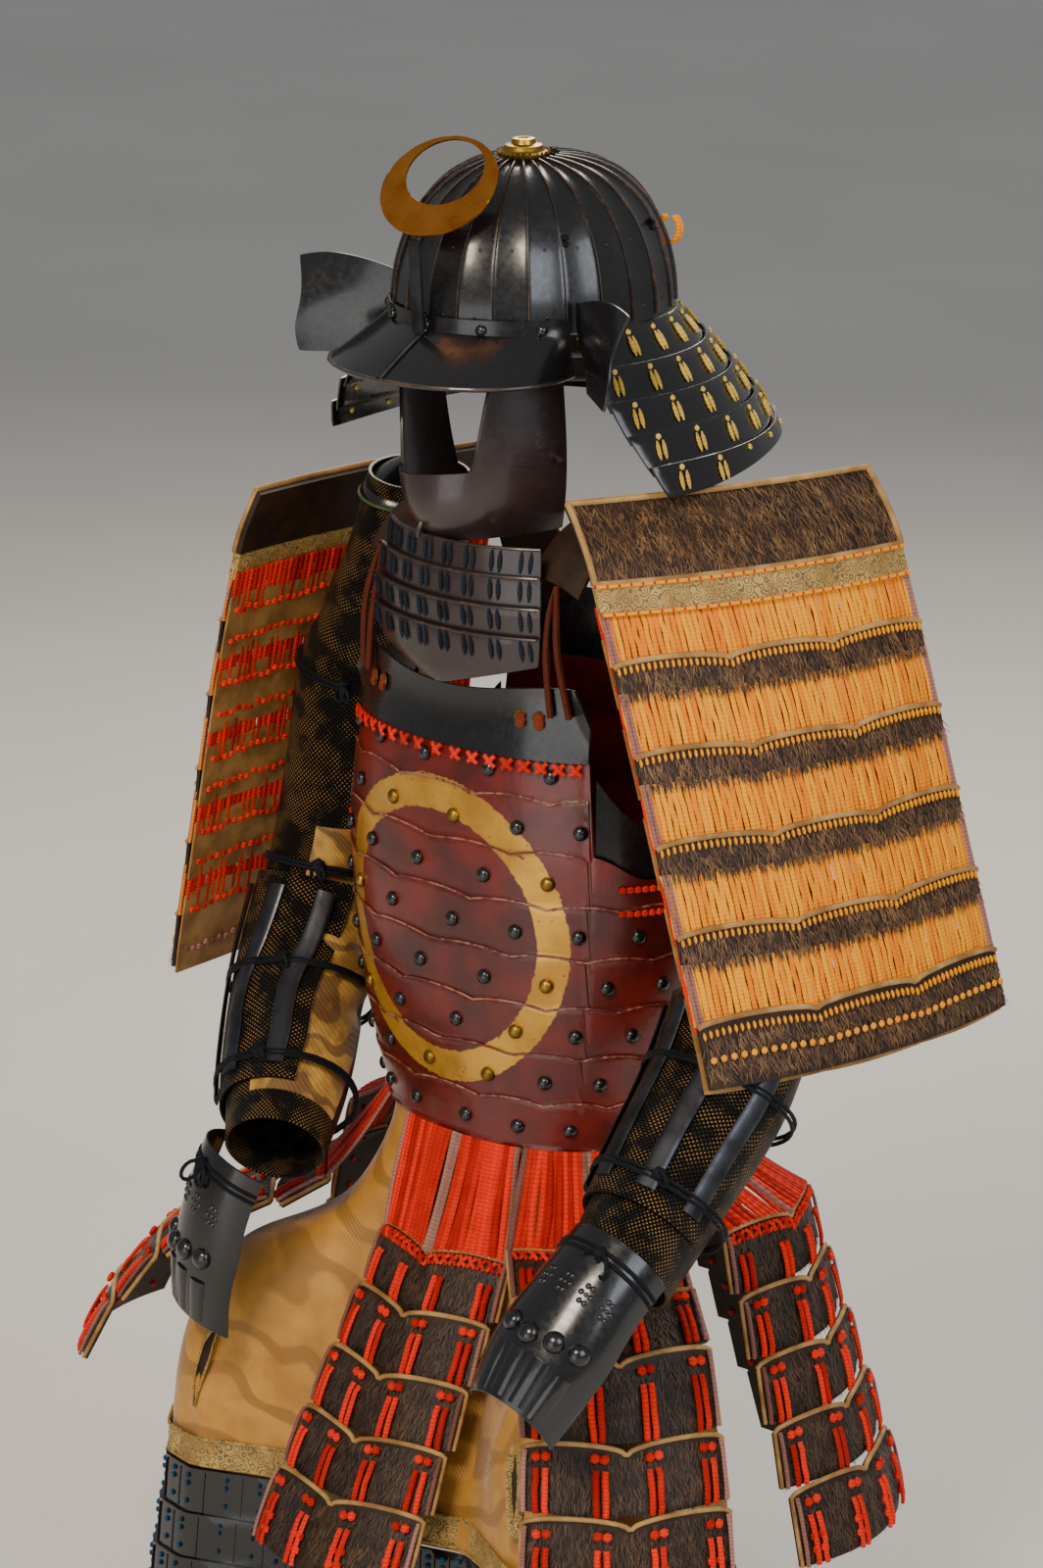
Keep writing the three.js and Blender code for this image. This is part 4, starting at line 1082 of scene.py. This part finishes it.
def build_shoulder_guard(side):
    settings = bpy.context.scene.laced_armour
    draw = np.random.default_rng(GUARD_SEEDS[side])
    rows = TABLES["guard_" + side]
    top, bottom = rows[0]["z"], rows[-1]["z"]
    band_top = top - GUARD["crown"] - 1
    first = band_top - GUARD["band"] - 1
    starts = [first] + [first - (first - bottom) * share for share in LAME_TOPS]
    fur, hide, binding, laced, backs, dots, mauve, stitches, reds, leather = [Pile() for _ in range(10)]

    def strip(place, across, down, inner=False):
        """A patch of the guard from a function of u and v that gives a height and a distance outwards."""
        flip = inner == (side == "left")
        return Patch(lambda u, v: guard_point(side, 1 - u if flip else u, *place(u, v)), across, down)

    lean = GUARD["lean"][side]
    crown = strip(lambda u, v: (mix(top, top - GUARD["crown"], v), 5 - lean * (1 - v) ** 2), 30, 10)
    band = strip(lambda u, v: (mix(band_top, band_top - GUARD["band"], v), 6), 30, 4)
    hide.wall(crown, 6)
    count = int(FUR_WIDTH["crown"] * GUARD["crown"] / 100 * settings.hairs_per_cm2)
    fur.hairs(crown, draw.uniform(0.01, 0.99, count), draw.uniform(0, 0.9, count), settings.fur_length, 0.55,
              draw, 0.16)
    for v in (0.0, 1.0):
        binding.line(crown, span(48), v, 1.0, 2.6, 2.4, 8)
    for u in (0.004, 0.996):
        binding.line(crown, u, span(12), 1.0, 2.6, 2.4, 8)
    leather.wall(band, 7)
    leather.make("guard_band_leather_" + side, "band leather", "leather", stands_for=("guard_band_" + side,))
    for v in (0.03, 0.97):
        path, normals, _ = band.at(span(90), v, 1.2)
        stitches.sweep(path, normals, 1.6, 1.6, 6, 0.8)
        for n in range(0, 90, 3):
            dots.dot("knot", path[n] + normals[n], normals[n], 1.5, 0.4)

    for k, start in enumerate(starts):
        last = k == GUARD["lames"]
        if not last:
            high = start - (24 if k else 0)
            low = starts[k + 1] - 4
            zone = strip(lambda u, v: (mix(high, low, v), 0), 24, 4)
            ribbons(laced, zone, GUARD_CORDS["outer"], draw)
            for u in (0.008, 0.02, 0.98, 0.992):
                mauve.line(zone, u, span(6), 3.0, 1.9, 1.6, 6, tint=0.8 if u > 0.5 else 0.5)
            behind = strip(lambda u, v: (mix(high + 6, low - 6, v), -2.6), 24, 4, True)
            ribbons(reds, behind, GUARD_CORDS["inner"], draw, 0.4, 0.8)
        if k == 0:
            continue
        depth = start - bottom if last else 31
        lame = strip(lambda u, v: (mix(start + 6 * scallop(u, 3) - 4, start - depth, v), mix(4.8, 2.6, v)),
                     60, 6)
        hide.wall(lame, 3.0)
        binding.line(lame, span(90), 0.0, 0.2, 2.3, 2.1, 8)
        stitches.stamp("bar", *lame.at(np.linspace(0.012, 0.988, 58), 0.17, 1.0), 3.6,
                       draw.uniform(0.5, 1, 58))
        count = int(FUR_WIDTH["lame"] * (depth - 8) / 100 * settings.hairs_per_cm2)
        fur.hairs(lame, draw.uniform(0.005, 0.995, count), draw.uniform(0.22, 0.82, count),
                  settings.fur_length * 0.85, 0.5, draw, 0.3)
        if last:
            stitches.stamp("knot", *lame.at(np.linspace(0.02, 0.98, 36), 0.55, 3.6), 3.0,
                           draw.uniform(0.4, 1, 36))

        def inner_place(u, v):
            ripple = 2.5 * scallop(u, 3) + 1.2 * math.sin(17 * u + k)
            return mix(start + 16 + ripple, start - depth - 5 - ripple * 0.3, v), -4.6

        inner = strip(inner_place, 60, 4, True)
        backs.wall(inner, 1.8)
        for share, pile in ((0.24, dots), (0.72, mauve if last else dots)):
            places = inner.at(np.linspace(0.03, 0.97, 34), share + draw.normal(0, 0.02, 34), 1.2)
            pile.stamp("knot", *places, 3.1, draw.uniform(0, 1, 34))
    lames = ["guard_lame_%s_%d" % (side, k + 1) for k in range(GUARD["lames"])]
    backs.make("guard_back_" + side, "back leather", "leather", stands_for=lames)
    hide.make("guard_lames_" + side, "hide", "fur", stands_for=("guard_crown_" + side,))
    fur.make("guard_fur_" + side, "grey fur", "fur", smooth=None)
    binding.make("guard_binding_" + side, "tan leather", "leather")
    laced.make("guard_lacing_" + side, "orange lace", "orange_lace")
    mauve.make("guard_edge_lacing_" + side, "mauve lace", "orange_lace")
    stitches.make("guard_stitches_" + side, "pale lace" if side == "right" else "orange lace", "orange_lace")
    dots.make("guard_red_knots_" + side, "red lace", "orange_lace")
    reds.make("guard_inner_lacing_" + side, "red lace", "orange_lace")


# Sleeves, splints and hand guards

SLEEVE_CREASES = {
    # bearing in degrees, place along the arm, length and width in mm, depth in mm, slant
    "left": ((20, 0.46, 90, 9, -4, 0.5), (150, 0.50, 110, 10, -5, -0.4), (-60, 0.54, 80, 8, -4, 0.3),
             (-110, 0.40, 100, 11, 4, -0.6), (80, 0.36, 70, 8, -3.5, 0.7), (200, 0.62, 90, 10, -4, 0.4),
             (-30, 0.26, 80, 10, 3.5, -0.5), (120, 0.22, 90, 10, -4, 0.6), (-150, 0.30, 70, 9, -3, 0.2)),
    "right": ((60, 0.60, 120, 11, -6, 0.5), (90, 0.70, 110, 12, 6, -0.4), (120, 0.78, 90, 9, -5, 0.6),
              (50, 0.84, 80, 8, -5, -0.5), (100, 0.52, 100, 10, -4, 0.4), (20, 0.44, 80, 9, -4, 0.5),
              (-100, 0.40, 90, 10, 4, -0.5), (160, 0.34, 70, 9, -4, 0.3), (-40, 0.24, 90, 10, -3.5, 0.6)),
}


# The brocade that shows on the inner side of each arm: bearings in degrees and places along the arm.
PANELS = {"left": {"from": -200, "to": -110, "start": 0.55, "end": 0.93},
          "right": {"from": 30, "to": 135, "start": 0.50, "end": 0.955}}


def sleeve_swell(side, bearing, t):
    """The creases of a sleeve at a bearing and place, in mm outwards."""
    total = 0.0
    for middle, place, length, width, depth, slant in SLEEVE_CREASES[side]:
        around = ((bearing - middle + 180) % 360 - 180) * 0.9
        along = (t - place) * 640
        line = along * math.cos(slant) + around * math.sin(slant)
        away = around * math.cos(slant) - along * math.sin(slant)
        total += depth * math.exp(-(line / width) ** 2) * max(0.0, 1 - (2 * away / length) ** 2)
    return total

ARM_LENGTH = 640
ARM_GIRTH = 316


def tie_bow(pile, knot, outward, lean, lift, drop, forward, width):
    """A loop of cord that hangs from a knot, and leans."""
    down = np.array((math.sin(lean), forward, -math.cos(lean)))
    right = np.array((math.cos(lean), 0, math.sin(lean)))
    path = [knot + outward * (lift[0] + lift[1] * math.sin(a / 2)) + drop * (1 - math.cos(a)) * down
            + width * math.sin(a) * right for a in np.linspace(0.2, math.tau - 0.2, 14)]
    pile.sweep(path, outward, 1.8, 1.6, 6)


def flat_grid(across, down, columns, rows):
    """The places of a wall's points on a flat cloth of the given size in mm."""
    return np.stack(np.meshgrid(np.linspace(0, across, columns), np.linspace(0, down, rows)), axis=2)


def build_sleeves():
    for side, sign in SIDES.items():
        shell, cap, edging, lining, cover, splints, cords = [Pile() for _ in range(7)]

        def around(u, v):
            return sleeve_point(side, math.tau * (u + 0.5), v, sleeve_swell(side, 360 * u + 180, v))

        shell.wall(Patch(around, 60, 100), 2.4, closed=True, uv=flat_grid(ARM_GIRTH, ARM_LENGTH, 61, 101))
        sleeve = shell.make("mail_sleeve_" + side, "mail", "mail", stands_for=("sleeve_" + side,), weld=True)
        shoulder = np.array(sleeve_frame(side, 0.0)[1])

        def cap_place(u, v):
            bearing = math.radians(mix(-35, 215, u) if sign > 0 else mix(-215, 35, u))
            ring = np.array(sleeve_point(side, bearing, 0.035, 2.6))
            angle = (1 - v) * math.pi / 2
            return mix(shoulder, ring, 0.12 + 0.88 * math.cos(angle)) + UP * 17.0 * math.sin(angle)

        dome = Patch(cap_place, 32, 10)
        cap.wall(dome, 1.6)
        cap.make("shoulder_plate_" + side, "black lacquer", "black_lacquer")
        edging.line(dome, span(40), 1.0, 0.3, 1.4, 1.4, 6)
        edging.make("shoulder_plate_edging_" + side, "green lace", "cord")
        panel = PANELS[side]

        def inner(u, v):
            bearing = mix(panel["from"], panel["to"], u)
            t = mix(panel["start"], panel["end"], v)
            return sleeve_point(side, math.radians(bearing), t, 1.2 + sleeve_swell(side, bearing, t))

        lining.wall(Patch(inner, 30, 60), 1.6)
        lining.make("brocade_panel_" + side, "brocade", "brocade")
        first = {"left": 0.62, "right": 0.6}[side]

        def guard(u, v):
            bearing = mix(-75, 100, u) if sign > 0 else mix(-100, 75, u)
            return sleeve_point(side, math.radians(bearing), mix(first, 0.94, v), 5.4)

        cover.wall(Patch(guard, 36, 40), 2.4, uv=flat_grid(150, 210, 37, 41))
        cover.make("forearm_mail_" + side, "mail", "mail", stands_for=("forearm_splints_" + side,))
        for n in range(4):
            bearing = math.radians(sign * mix(-75, 100, (n + 0.5) / 4))
            places = [mix(first + 0.02, 0.92, t) for t in span(16)]
            path = np.array([sleeve_point(side, bearing, t, 8.6) for t in places])
            centres = np.array([sleeve_frame(side, t)[1] for t in places])
            splints.sweep(path, unit(path - centres), 8.5, 1.9, 12)
        splints.make("iron_splints_" + side, "iron", "black_lacquer")
        for t in (0.30, 0.58, 0.74, 0.9):
            centre = sleeve_frame(side, t)[1]
            lift = 9.5 if t > 0.6 else 2.6
            for shift in (-2.2, 2.2):
                place = t + shift / ARM_LENGTH
                spots = np.array([sleeve_point(side, a, place + 0.004 * math.sin(2 * a), lift)
                                  for a in np.linspace(0, math.tau, 40)[:-1]])
                cords.sweep(spots, unit(spots - np.array(centre)), 1.9, 1.7, 6, closed=True)
            knot = sleeve_point(side, math.radians(40), t, lift + 2)
            outward = np.array((knot - centre).normalized())
            cords.dot("knot", np.array(knot), outward, 6.5)
            for lean, size in ((-0.5, 15), (0.45, 13)):
                tie_bow(cords, np.array(knot), outward, lean, (2, 3), size * 0.5, 0.1, 0.28 * size)
        cords.make("sleeve_ties_" + side, "black cord", "cord")


HANDS = {
    "left": {"start": (280, -199, -516), "end": (272, -318, -596), "up": (0.35, -0.5, 0.78)},
    "right": {"start": (-126.7, -202, -535.7), "end": (-172, -250, -660), "up": (-0.25, -0.8, 0.5)},
}
HAND = table("half height", (44.4, 48.2), (44, 44), (48, 35), (47, 24), (40, 4))


def hand_point(side, u, v, out=0.0):
    """A point of a hand guard. v runs from the wrist to the fingers."""
    hand = HANDS[side]
    start, end = Vector(hand["start"]), Vector(hand["end"])
    line = end - start
    along = line.normalized()
    across = along.cross(Vector(hand["up"])).normalized()
    up = across.cross(along).normalized()
    turn = math.radians(mix(-80, 80, 1 - u))
    row = row_at(HAND, v)
    return (start + line * v - across * (row["half"] + out) * math.sin(turn)
            + up * (row["height"] - 40 * (1 - math.cos(turn)) + out * math.cos(turn)))


def build_hand_guards():
    for side in SIDES:
        refined("hand_guard_" + side, "black lacquer")
        relief, cords = Pile(), Pile()
        back = Patch(lambda u, v: hand_point(side, 1 - u, v, 0.2), 30, 30)
        if np.dot(back.normal[15, 15], np.array(HANDS[side]["up"])) < 0:
            back = Patch(lambda u, v: hand_point(side, u, v, 0.2), 30, 30)
        turns = np.arange(6) * math.tau / 6
        for n, u in enumerate((0.26, 0.42, 0.58, 0.74)):
            relief.stamp("dome", *back.at([u], [0.66 - 0.03 * abs(n - 1)], 0.5), 9.0)
            petals = back.at(u + 0.035 * np.cos(turns), 0.34 + 0.05 * np.sin(turns), 0.8)
            relief.stamp("dome", *petals, 2.6)
            relief.stamp("dome", *back.at([u], [0.34], 1.0), 2.0)
            relief.line(back, u, np.linspace(0.74, 0.98, 8), 0.6, 7.5, 2.6, 10)
        for v in (0.01, 0.99):
            relief.line(back, span(40), v, 0.6, 1.5, 1.3, 6)
        for u in (0.01, 0.99):
            relief.line(back, u, span(24), 0.6, 1.5, 1.3, 6)
        relief.make("hand_guard_relief_" + side, "black lacquer", "black_lacquer")
        for v in (0.10, 0.14):
            cords.line(back, span(30), v, 1.8, 1.9, 1.7, 6)
        knot, normals, down = back.at([0.5], [0.12], 4.0)
        cords.stamp("knot", knot, normals, down, 6.0)
        for lean in (-0.7, 0.5):
            tie_bow(cords, knot[0], normals[0], lean, (0, 2), 10, -0.3, 6)
        cords.make("hand_guard_cord_" + side, "black cord", "cord")


# Tassets

def slope(out, down, lean, pitch, last):
    """The edges of five lames that hang at a slope: distances out from the waist, and down from it."""
    lean = math.radians(lean)
    runs = [pitch * k for k in range(5)] + [pitch * 4 + last]
    return [(out + math.sin(lean) * run, down + math.cos(lean) * run) for run in runs]


HANGS = {
    "between": slope(30, 90, 30, 54, 66),
    "side": slope(88, 50, 17, 54, 66),
    "sideLeft": slope(87.3, 50.7, 17.4, 54.2, 65.6),
    "back": slope(34, 90, 20, 54, 66),
    "overLeftThigh": [(50, 70), (106, 90), (162, 112), (200, 168), (220, 220), (232, 286)],
    "overRightThigh": [(50, 72), (100, 98), (152, 120), (198, 156), (236, 200), (270, 256)],
}
TASSETS = table("name bearing root hang",
                ("tasset_front", 2, 24.6, "between"), ("tasset_front_left", 53, 24.6, "overLeftThigh"),
                ("tasset_side_left", 104.3, 24.1, "sideLeft"), ("tasset_back_left", 155, 24.6, "back"),
                ("tasset_back_right", 206, 24.6, "back"), ("tasset_side_right", 253, 20.6, "side"),
                ("tasset_front_right", 296, 20.6, "overRightThigh"))
TASSET = {"first": 70, "bottom": 86, "bow": 24, "humps": 2, "hump": 9, "step": 1.6}


def tasset_point(tasset, u, row, out=0.0):
    """Row 0 is the root of the lacing. Rows 2k + 1 and 2k + 2 are the upper and lower edge of lame k."""
    side = 2 * u - 1
    turn = math.radians(tasset["bearing"])
    if row == 0:
        return np.array(trunk_point(tasset["bearing"] + side * tasset["root"], WAIST_Z - 0.5, 1.2 + out))
    k, lower = (row - 1) // 2, (row - 1) % 2
    steps = HANGS[tasset["hang"]]
    edge = steps[k + lower]
    run = (steps[k + 1][0] - steps[k][0], steps[k][1] - steps[k + 1][1])
    size = math.hypot(*run)
    along = (run[0] / size, run[1] / size)
    notch = 0 if lower else TASSET["hump"] * (1 - scallop(u, TASSET["humps"]))
    stand = (0 if lower else 4.6) + k * TASSET["step"] + out
    half = mix(TASSET["first"], TASSET["bottom"], (k + lower) / 5)
    reach = edge[0] + along[0] * notch - along[1] * stand - TASSET["bow"] * side ** 2
    z = WAIST_Z - edge[1] + along[1] * notch + along[0] * stand
    waist = np.array(trunk_point(tasset["bearing"], WAIST_Z))
    waist[2] = z
    return (waist + np.array((math.sin(turn), -math.cos(turn), 0)) * reach
            + np.array((math.cos(turn), math.sin(turn), 0)) * half * side)


STATIONS = (0.1, 0.37, 0.63, 0.9)
TASSET_SEED = 40
FAN_CORDS = 26


def build_tassets():
    settings = bpy.context.scene.laced_armour
    for number, tasset in enumerate(TASSETS):
        draw = np.random.default_rng(TASSET_SEED + number)
        name = tasset["name"]
        red, mauve, hide, fur, binding = [Pile() for _ in range(5)]
        fan = Patch(lambda u, v: mix(tasset_point(tasset, u, 0), tasset_point(tasset, u, 1, 1.0), v)
                    + DOWN * 5.0 * math.sin(math.pi * v), 24, 8)
        v = span(8)
        for n in range(FAN_CORDS):
            u = (n + 0.5) / FAN_CORDS + draw.normal(0, 0.009) * np.sin(math.pi * v)
            pile = mauve if n in (0, 12, 13, 25) else red
            slack = 1.0 + draw.uniform(0, 3.0) * np.sin(math.pi * v)
            pile.line(fan, np.clip(u, 0.005, 0.995), v, slack, 2.9, 1.5, 6, tint=draw.uniform(0, 1))
        for k in range(5):
            upper, lower = 2 * k + 1, 2 * k + 2
            lame = Patch(lambda u, v: mix(tasset_point(tasset, u, upper), tasset_point(tasset, u, lower), v),
                         40, 8)
            hide.wall(lame, 3.2)
            binding.line(lame, span(70), 0.0, 0.3, 2.0, 2.0, 8)
            for u in (0.006, 0.994):
                binding.line(lame, u, span(8), 0.3, 1.8, 1.8, 8)
            count = int(74 * settings.hairs_per_cm2)
            fur.hairs(lame, draw.uniform(0.02, 0.98, count), draw.uniform(0.06, 0.86, count),
                      settings.fur_length * 0.95, 0.62, draw, 0.2)
            if k == 0:
                for u in np.linspace(0.04, 0.96, 18):
                    for lean in (-1, 1):
                        red.line(lame, u + lean * np.array((-0.02, 0, 0.02)), (0.06, 0.14, 0.22),
                                 (2.0, 3.6 + lean * 0.5, 2.0), 1.7, 1.2, 6, tint=draw.uniform(0, 1))
            v = (0.34, 0.45, 0.7, 0.9, 1.0) if k else (0.42, 0.5, 0.72, 0.9, 1.0)
            levels = () if k == 0 else (0.17,) if k < 4 else (0.17, 0.62, 0.8)
            for u in STATIONS:
                for shift in (-0.021, 0.021):
                    red.line(lame, u + shift + draw.normal(0, 0.002, 5), v, (3.0, 4.6, 5.2, 5.0, 3.6),
                             2.6, 1.7, 6, tint=draw.uniform(0, 1))
                for level in levels:
                    places = lame.at([u - 0.022, u + 0.022], level, 4.0)
                    red.stamp("knot", *places, 4.2, draw.uniform(0, 1, 2))
            for u in (0.025, 0.975):
                mauve.line(lame, u, np.linspace(0.05, 1, 8), (3.0, 4.5, 5, 5, 5, 5, 4.5, 3.6), 1.9, 1.6, 6,
                           tint=draw.uniform(0, 1))
            inside, normals, down = lame.at(np.array(STATIONS * 2), np.repeat((0.3, 0.8), 4), -3.8)
            red.stamp("knot", inside, -normals, down, 3.2, draw.uniform(0, 1, 8))
        hide.make(name + "_lames", "hide", "fur", stands_for=(name,))
        fur.make(name + "_fur", "fur", "fur", smooth=None)
        binding.make(name + "_binding", "tan leather", "leather")
        red.make(name + "_lacing", "red lace", "orange_lace")
        mauve.make(name + "_edge_lacing", "mauve lace", "orange_lace")


# Thigh guards

THIGH_CREASES = {
    # middle, direction, length, width and depth in mm
    "left": (((150, -190, -700), (0.5, 0.2, 1), 130, 12, -7), ((80, -250, -720), (0.2, 0, 1), 120, 13, 6),
             ((200, -120, -740), (0.3, 0.4, 1), 120, 12, -6),
             ((120, -150, -610), (1, -0.6, 0.2), 110, 10, -5),
             ((190, -210, -780), (0.1, 0.1, 1), 90, 10, 5), ((230, -60, -700), (0.1, 0.3, 1), 110, 12, -5)),
    "right": (((-150, -190, -700), (-0.4, 0.2, 1), 130, 13, -8),
              ((-90, -260, -710), (-0.3, 0, 1), 120, 12, 6),
              ((-205, -130, -730), (-0.2, 0.5, 1), 130, 12, -7),
              ((-110, -160, -620), (-1, -0.5, 0.3), 120, 11, -6),
              ((-180, -220, -770), (-0.2, 0.1, 1), 100, 10, 5), ((-60, -280, -760), (0.1, 0, 1), 90, 10, -5)),
}


# Heights in mm of the printed band's edges and of the first laced lame's top, and the lames' pitch
THIGH_BAND = (-790, -813)
THIGH_LAMES = {"top": -818, "pitch": 40, "count": 4, "stations": 26}
SLIT = {"z": -728, "half_height": 34, "half_width": 5.5, "points": 27}


def build_thigh_guards():
    for side, sign in SIDES.items():
        cloth = refined("thigh_cloth_" + side, "thigh silk", 2, 50, THIGH_CREASES[side])
        refined("thigh_lames_" + side, "black lacquer", 2, 30)
        skin, lames = Skin("thigh_cloth_" + side), Skin("thigh_lames_" + side)
        trim, slit_shade, dots, scales, strip = [Pile() for _ in range(5)]
        for bearing in (18, 40, 63):
            path = []
            for a in np.linspace(0, math.tau, SLIT["points"] + 1)[:-1]:
                wide = SLIT["half_width"] * math.sin(a) * (0.5 + 0.5 * math.cos(a / 2) ** 2)
                height = SLIT["z"] + SLIT["half_height"] * math.cos(a)
                path.append(np.array(skin.round_about(sign * bearing + wide * 0.22, height)))
            path = np.array(path)
            outward = outward_at(sign * bearing)
            trim.sweep(path + outward * 0.8, outward, 3.2, 1.1, 6, closed=True)
            # painted shade: a dark disc of hide colour fills each slit, for the shadow in the opening
            rim = np.concatenate([path + outward * 0.9, [path.mean(axis=0) + outward]])
            last = SLIT["points"]
            slit_shade.add(rim, [(k, (k + 1) % last, last) for k in range(last)], 0.2)

        def band_place(u, v):
            bearing = sign * mix(4, 92, u if sign > 0 else 1 - u)
            return skin.round_about(bearing, mix(*THIGH_BAND, v), fallback=200)

        band = Patch(band_place, 60, 4)
        strip.wall(band, 1.2, out=1.4)
        strip.make("thigh_band_" + side, "band leather", "leather")
        for v in (0.0, 1.0):
            trim.line(band, span(60), v, 1.6, 1.6, 1.4, 6)
        trim.make("thigh_trim_" + side, "band leather", "leather")
        slit_shade.make("thigh_slits_" + side, "hide", "brocade")
        for k in range(THIGH_LAMES["count"]):
            top = THIGH_LAMES["top"] - THIGH_LAMES["pitch"] * k
            for n in range(THIGH_LAMES["stations"]):
                bearing = sign * mix(5, 91, n / (THIGH_LAMES["stations"] - 1))
                outward = outward_at(bearing)
                for drop in (6, 13, 29):
                    spot = np.array(lames.round_about(bearing, top - drop, fallback=200)) + outward * 0.8
                    dots.dot("knot", spot, outward, 2.7, 0.15 * (n % 7))
                path = [np.array(lames.round_about(bearing + 1.5, top - mix(2, 37, t), fallback=200))
                        for t in (0, 0.5, 1)]
                scales.sweep(np.array(path) + outward * 0.3, outward, 0.7, 0.8, 6)
        dots.make("thigh_lace_dots_" + side, "blue lace", "cord")
        scales.make("thigh_scale_edges_" + side, "black lacquer", "black_lacquer")


# Stage

CAMERA = {"place": (3026.6, -3054.6, 1050.0), "target": (-14.0, -14.0, -230.0), "lens": 127.1}
LIGHTS = (
    # name, place and target in metres, size in metres, watts, colour
    ("key", (1.2, -2.9, 2.3), (0, 0, -0.2), 1.1, 105, "#fff0da"),
    ("side", (3.0, -0.4, 1.2), (0, 0, -0.3), 1.8, 48, "#eef4ff"),
    ("back", (-1.6, 2.2, 1.9), (0, 0, -0.1), 1.6, 95, "#fff1dc"),
    ("low", (0.6, -2.6, -0.5), (0, 0, -0.6), 1.6, 14, "#ffffff"),
)


def build_stage():
    low = CAD_BOX[0][2] - 0.03
    bpy.ops.mesh.primitive_plane_add(size=80, location=(0, 0, low))
    floor = bpy.context.object
    floor.name = "floor"
    pick(floor)
    bpy.ops.object.transform_apply(location=True)
    floor.data.materials.append(finish("floor"))
    for name, place, target, size, watts, colour in LIGHTS:
        light = bpy.data.lights.new(name, "AREA")
        light.size = size
        light.energy = watts
        light.color = linear(colour)[:3]
        lamp = bpy.data.objects.new(name, light)
        lamp.location = place
        lamp.rotation_euler = (Vector(target) - Vector(place)).to_track_quat("-Z", "Y").to_euler()
        bpy.context.scene.collection.objects.link(lamp)
    world = bpy.data.worlds.new("studio")
    world.use_nodes = True
    world.node_tree.nodes["Background"].inputs["Color"].default_value = linear("#cfd1d4")
    world.node_tree.nodes["Background"].inputs["Strength"].default_value = 0.42
    bpy.context.scene.world = world
    lens = bpy.data.cameras.new("camera")
    lens.sensor_width = 36
    lens.lens = CAMERA["lens"]
    lens.clip_end = 100
    camera = bpy.data.objects.new("camera", lens)
    place = Vector(CAMERA["place"]) * MM
    camera.location = place
    camera.rotation_euler = (Vector(CAMERA["target"]) * MM - place).to_track_quat("-Z", "Y").to_euler()
    bpy.context.scene.collection.objects.link(camera)
    bpy.context.scene.camera = camera


# The add-on

class LacedArmourSettings(bpy.types.PropertyGroup):
    """Sizes and colours of the armour that a user may change."""
    hairs_per_cm2: IntProperty(name="Hairs", description="Hairs on a square centimetre of fur", default=18,
                               min=2)
    fur_length: FloatProperty(name="Fur length", description="Length of a hair, in mm", default=12.0, min=2.0)
    rivet_radius: FloatProperty(name="Rivet radius", description="Radius of a cuirass rivet, in mm",
                                default=6.2)
    orange: FloatVectorProperty(name="Orange lace", description="Colour of the shoulder guards' lacing",
                                size=3, subtype="COLOR", default=(1.0, 0.68, 0.1), min=0.0, max=1.0)
    ring: FloatVectorProperty(name="Ring", description="Colour of the gold leaf ring", size=3,
                              subtype="COLOR", default=(0.88, 0.66, 0.24), min=0.0, max=1.0)


def operator(name, description, *builds):
    """An operator that adds one part of the armour."""
    def execute(self, context):
        for build in builds:
            build()
        return {"FINISHED"}

    label = name.capitalize().replace("_", " ")
    return type("ARMOUR_OT_" + name, (bpy.types.Operator,), {
        "__doc__": description, "bl_idname": "armour." + name, "bl_label": label, "execute": execute})


OPERATORS = (
    operator("stage", "Adds the floor, the lights and the camera.", build_stage),
    operator("helmet", "Adds the ribbed bowl, its crown fitting, visor, wings and crest.", build_helmet),
    operator("neck_guard", "Adds the five laced lames of the neck guard.", build_neck_guard),
    operator("mask", "Adds the half mask and the throat guard.", build_mask),
    operator("cuirass", "Adds the cuirass with its boards, straps, rivets and knots.", build_cuirass),
    operator("shoulder_guards", "Adds the two shoulder guards.", partial(build_shoulder_guard, "left"),
             partial(build_shoulder_guard, "right")),
    operator("sleeves", "Adds the mail sleeves with their splints and ties.", build_sleeves),
    operator("hand_guards", "Adds the hand guards and their cords.", build_hand_guards),
    operator("tassets", "Adds the seven tassets of the skirt.", build_tassets),
    operator("thigh_guards", "Adds the thigh guards with their laced lames.", build_thigh_guards),
)


class ARMOUR_PT_panel(bpy.types.Panel):
    """Lists the armour's pieces in the sidebar."""
    bl_idname = "ARMOUR_PT_panel"
    bl_label = "Laced Armour"
    bl_space_type = "VIEW_3D"
    bl_region_type = "UI"
    bl_category = "Armour"

    def draw(self, context):
        for key in ("hairs_per_cm2", "fur_length", "rivet_radius", "orange", "ring"):
            self.layout.prop(context.scene.laced_armour, key)
        for made in OPERATORS:
            self.layout.operator(made.bl_idname)


CLASSES = (LacedArmourSettings,) + OPERATORS + (ARMOUR_PT_panel,)


def register():
    for made in CLASSES:
        bpy.utils.register_class(made)
    bpy.types.Scene.laced_armour = PointerProperty(type=LacedArmourSettings)


def unregister():
    del bpy.types.Scene.laced_armour
    for made in reversed(CLASSES):
        bpy.utils.unregister_class(made)


def main():
    register()
    for made in OPERATORS:
        getattr(bpy.ops.armour, made.bl_idname.split(".")[1])()


if __name__ == "__main__":
    main()
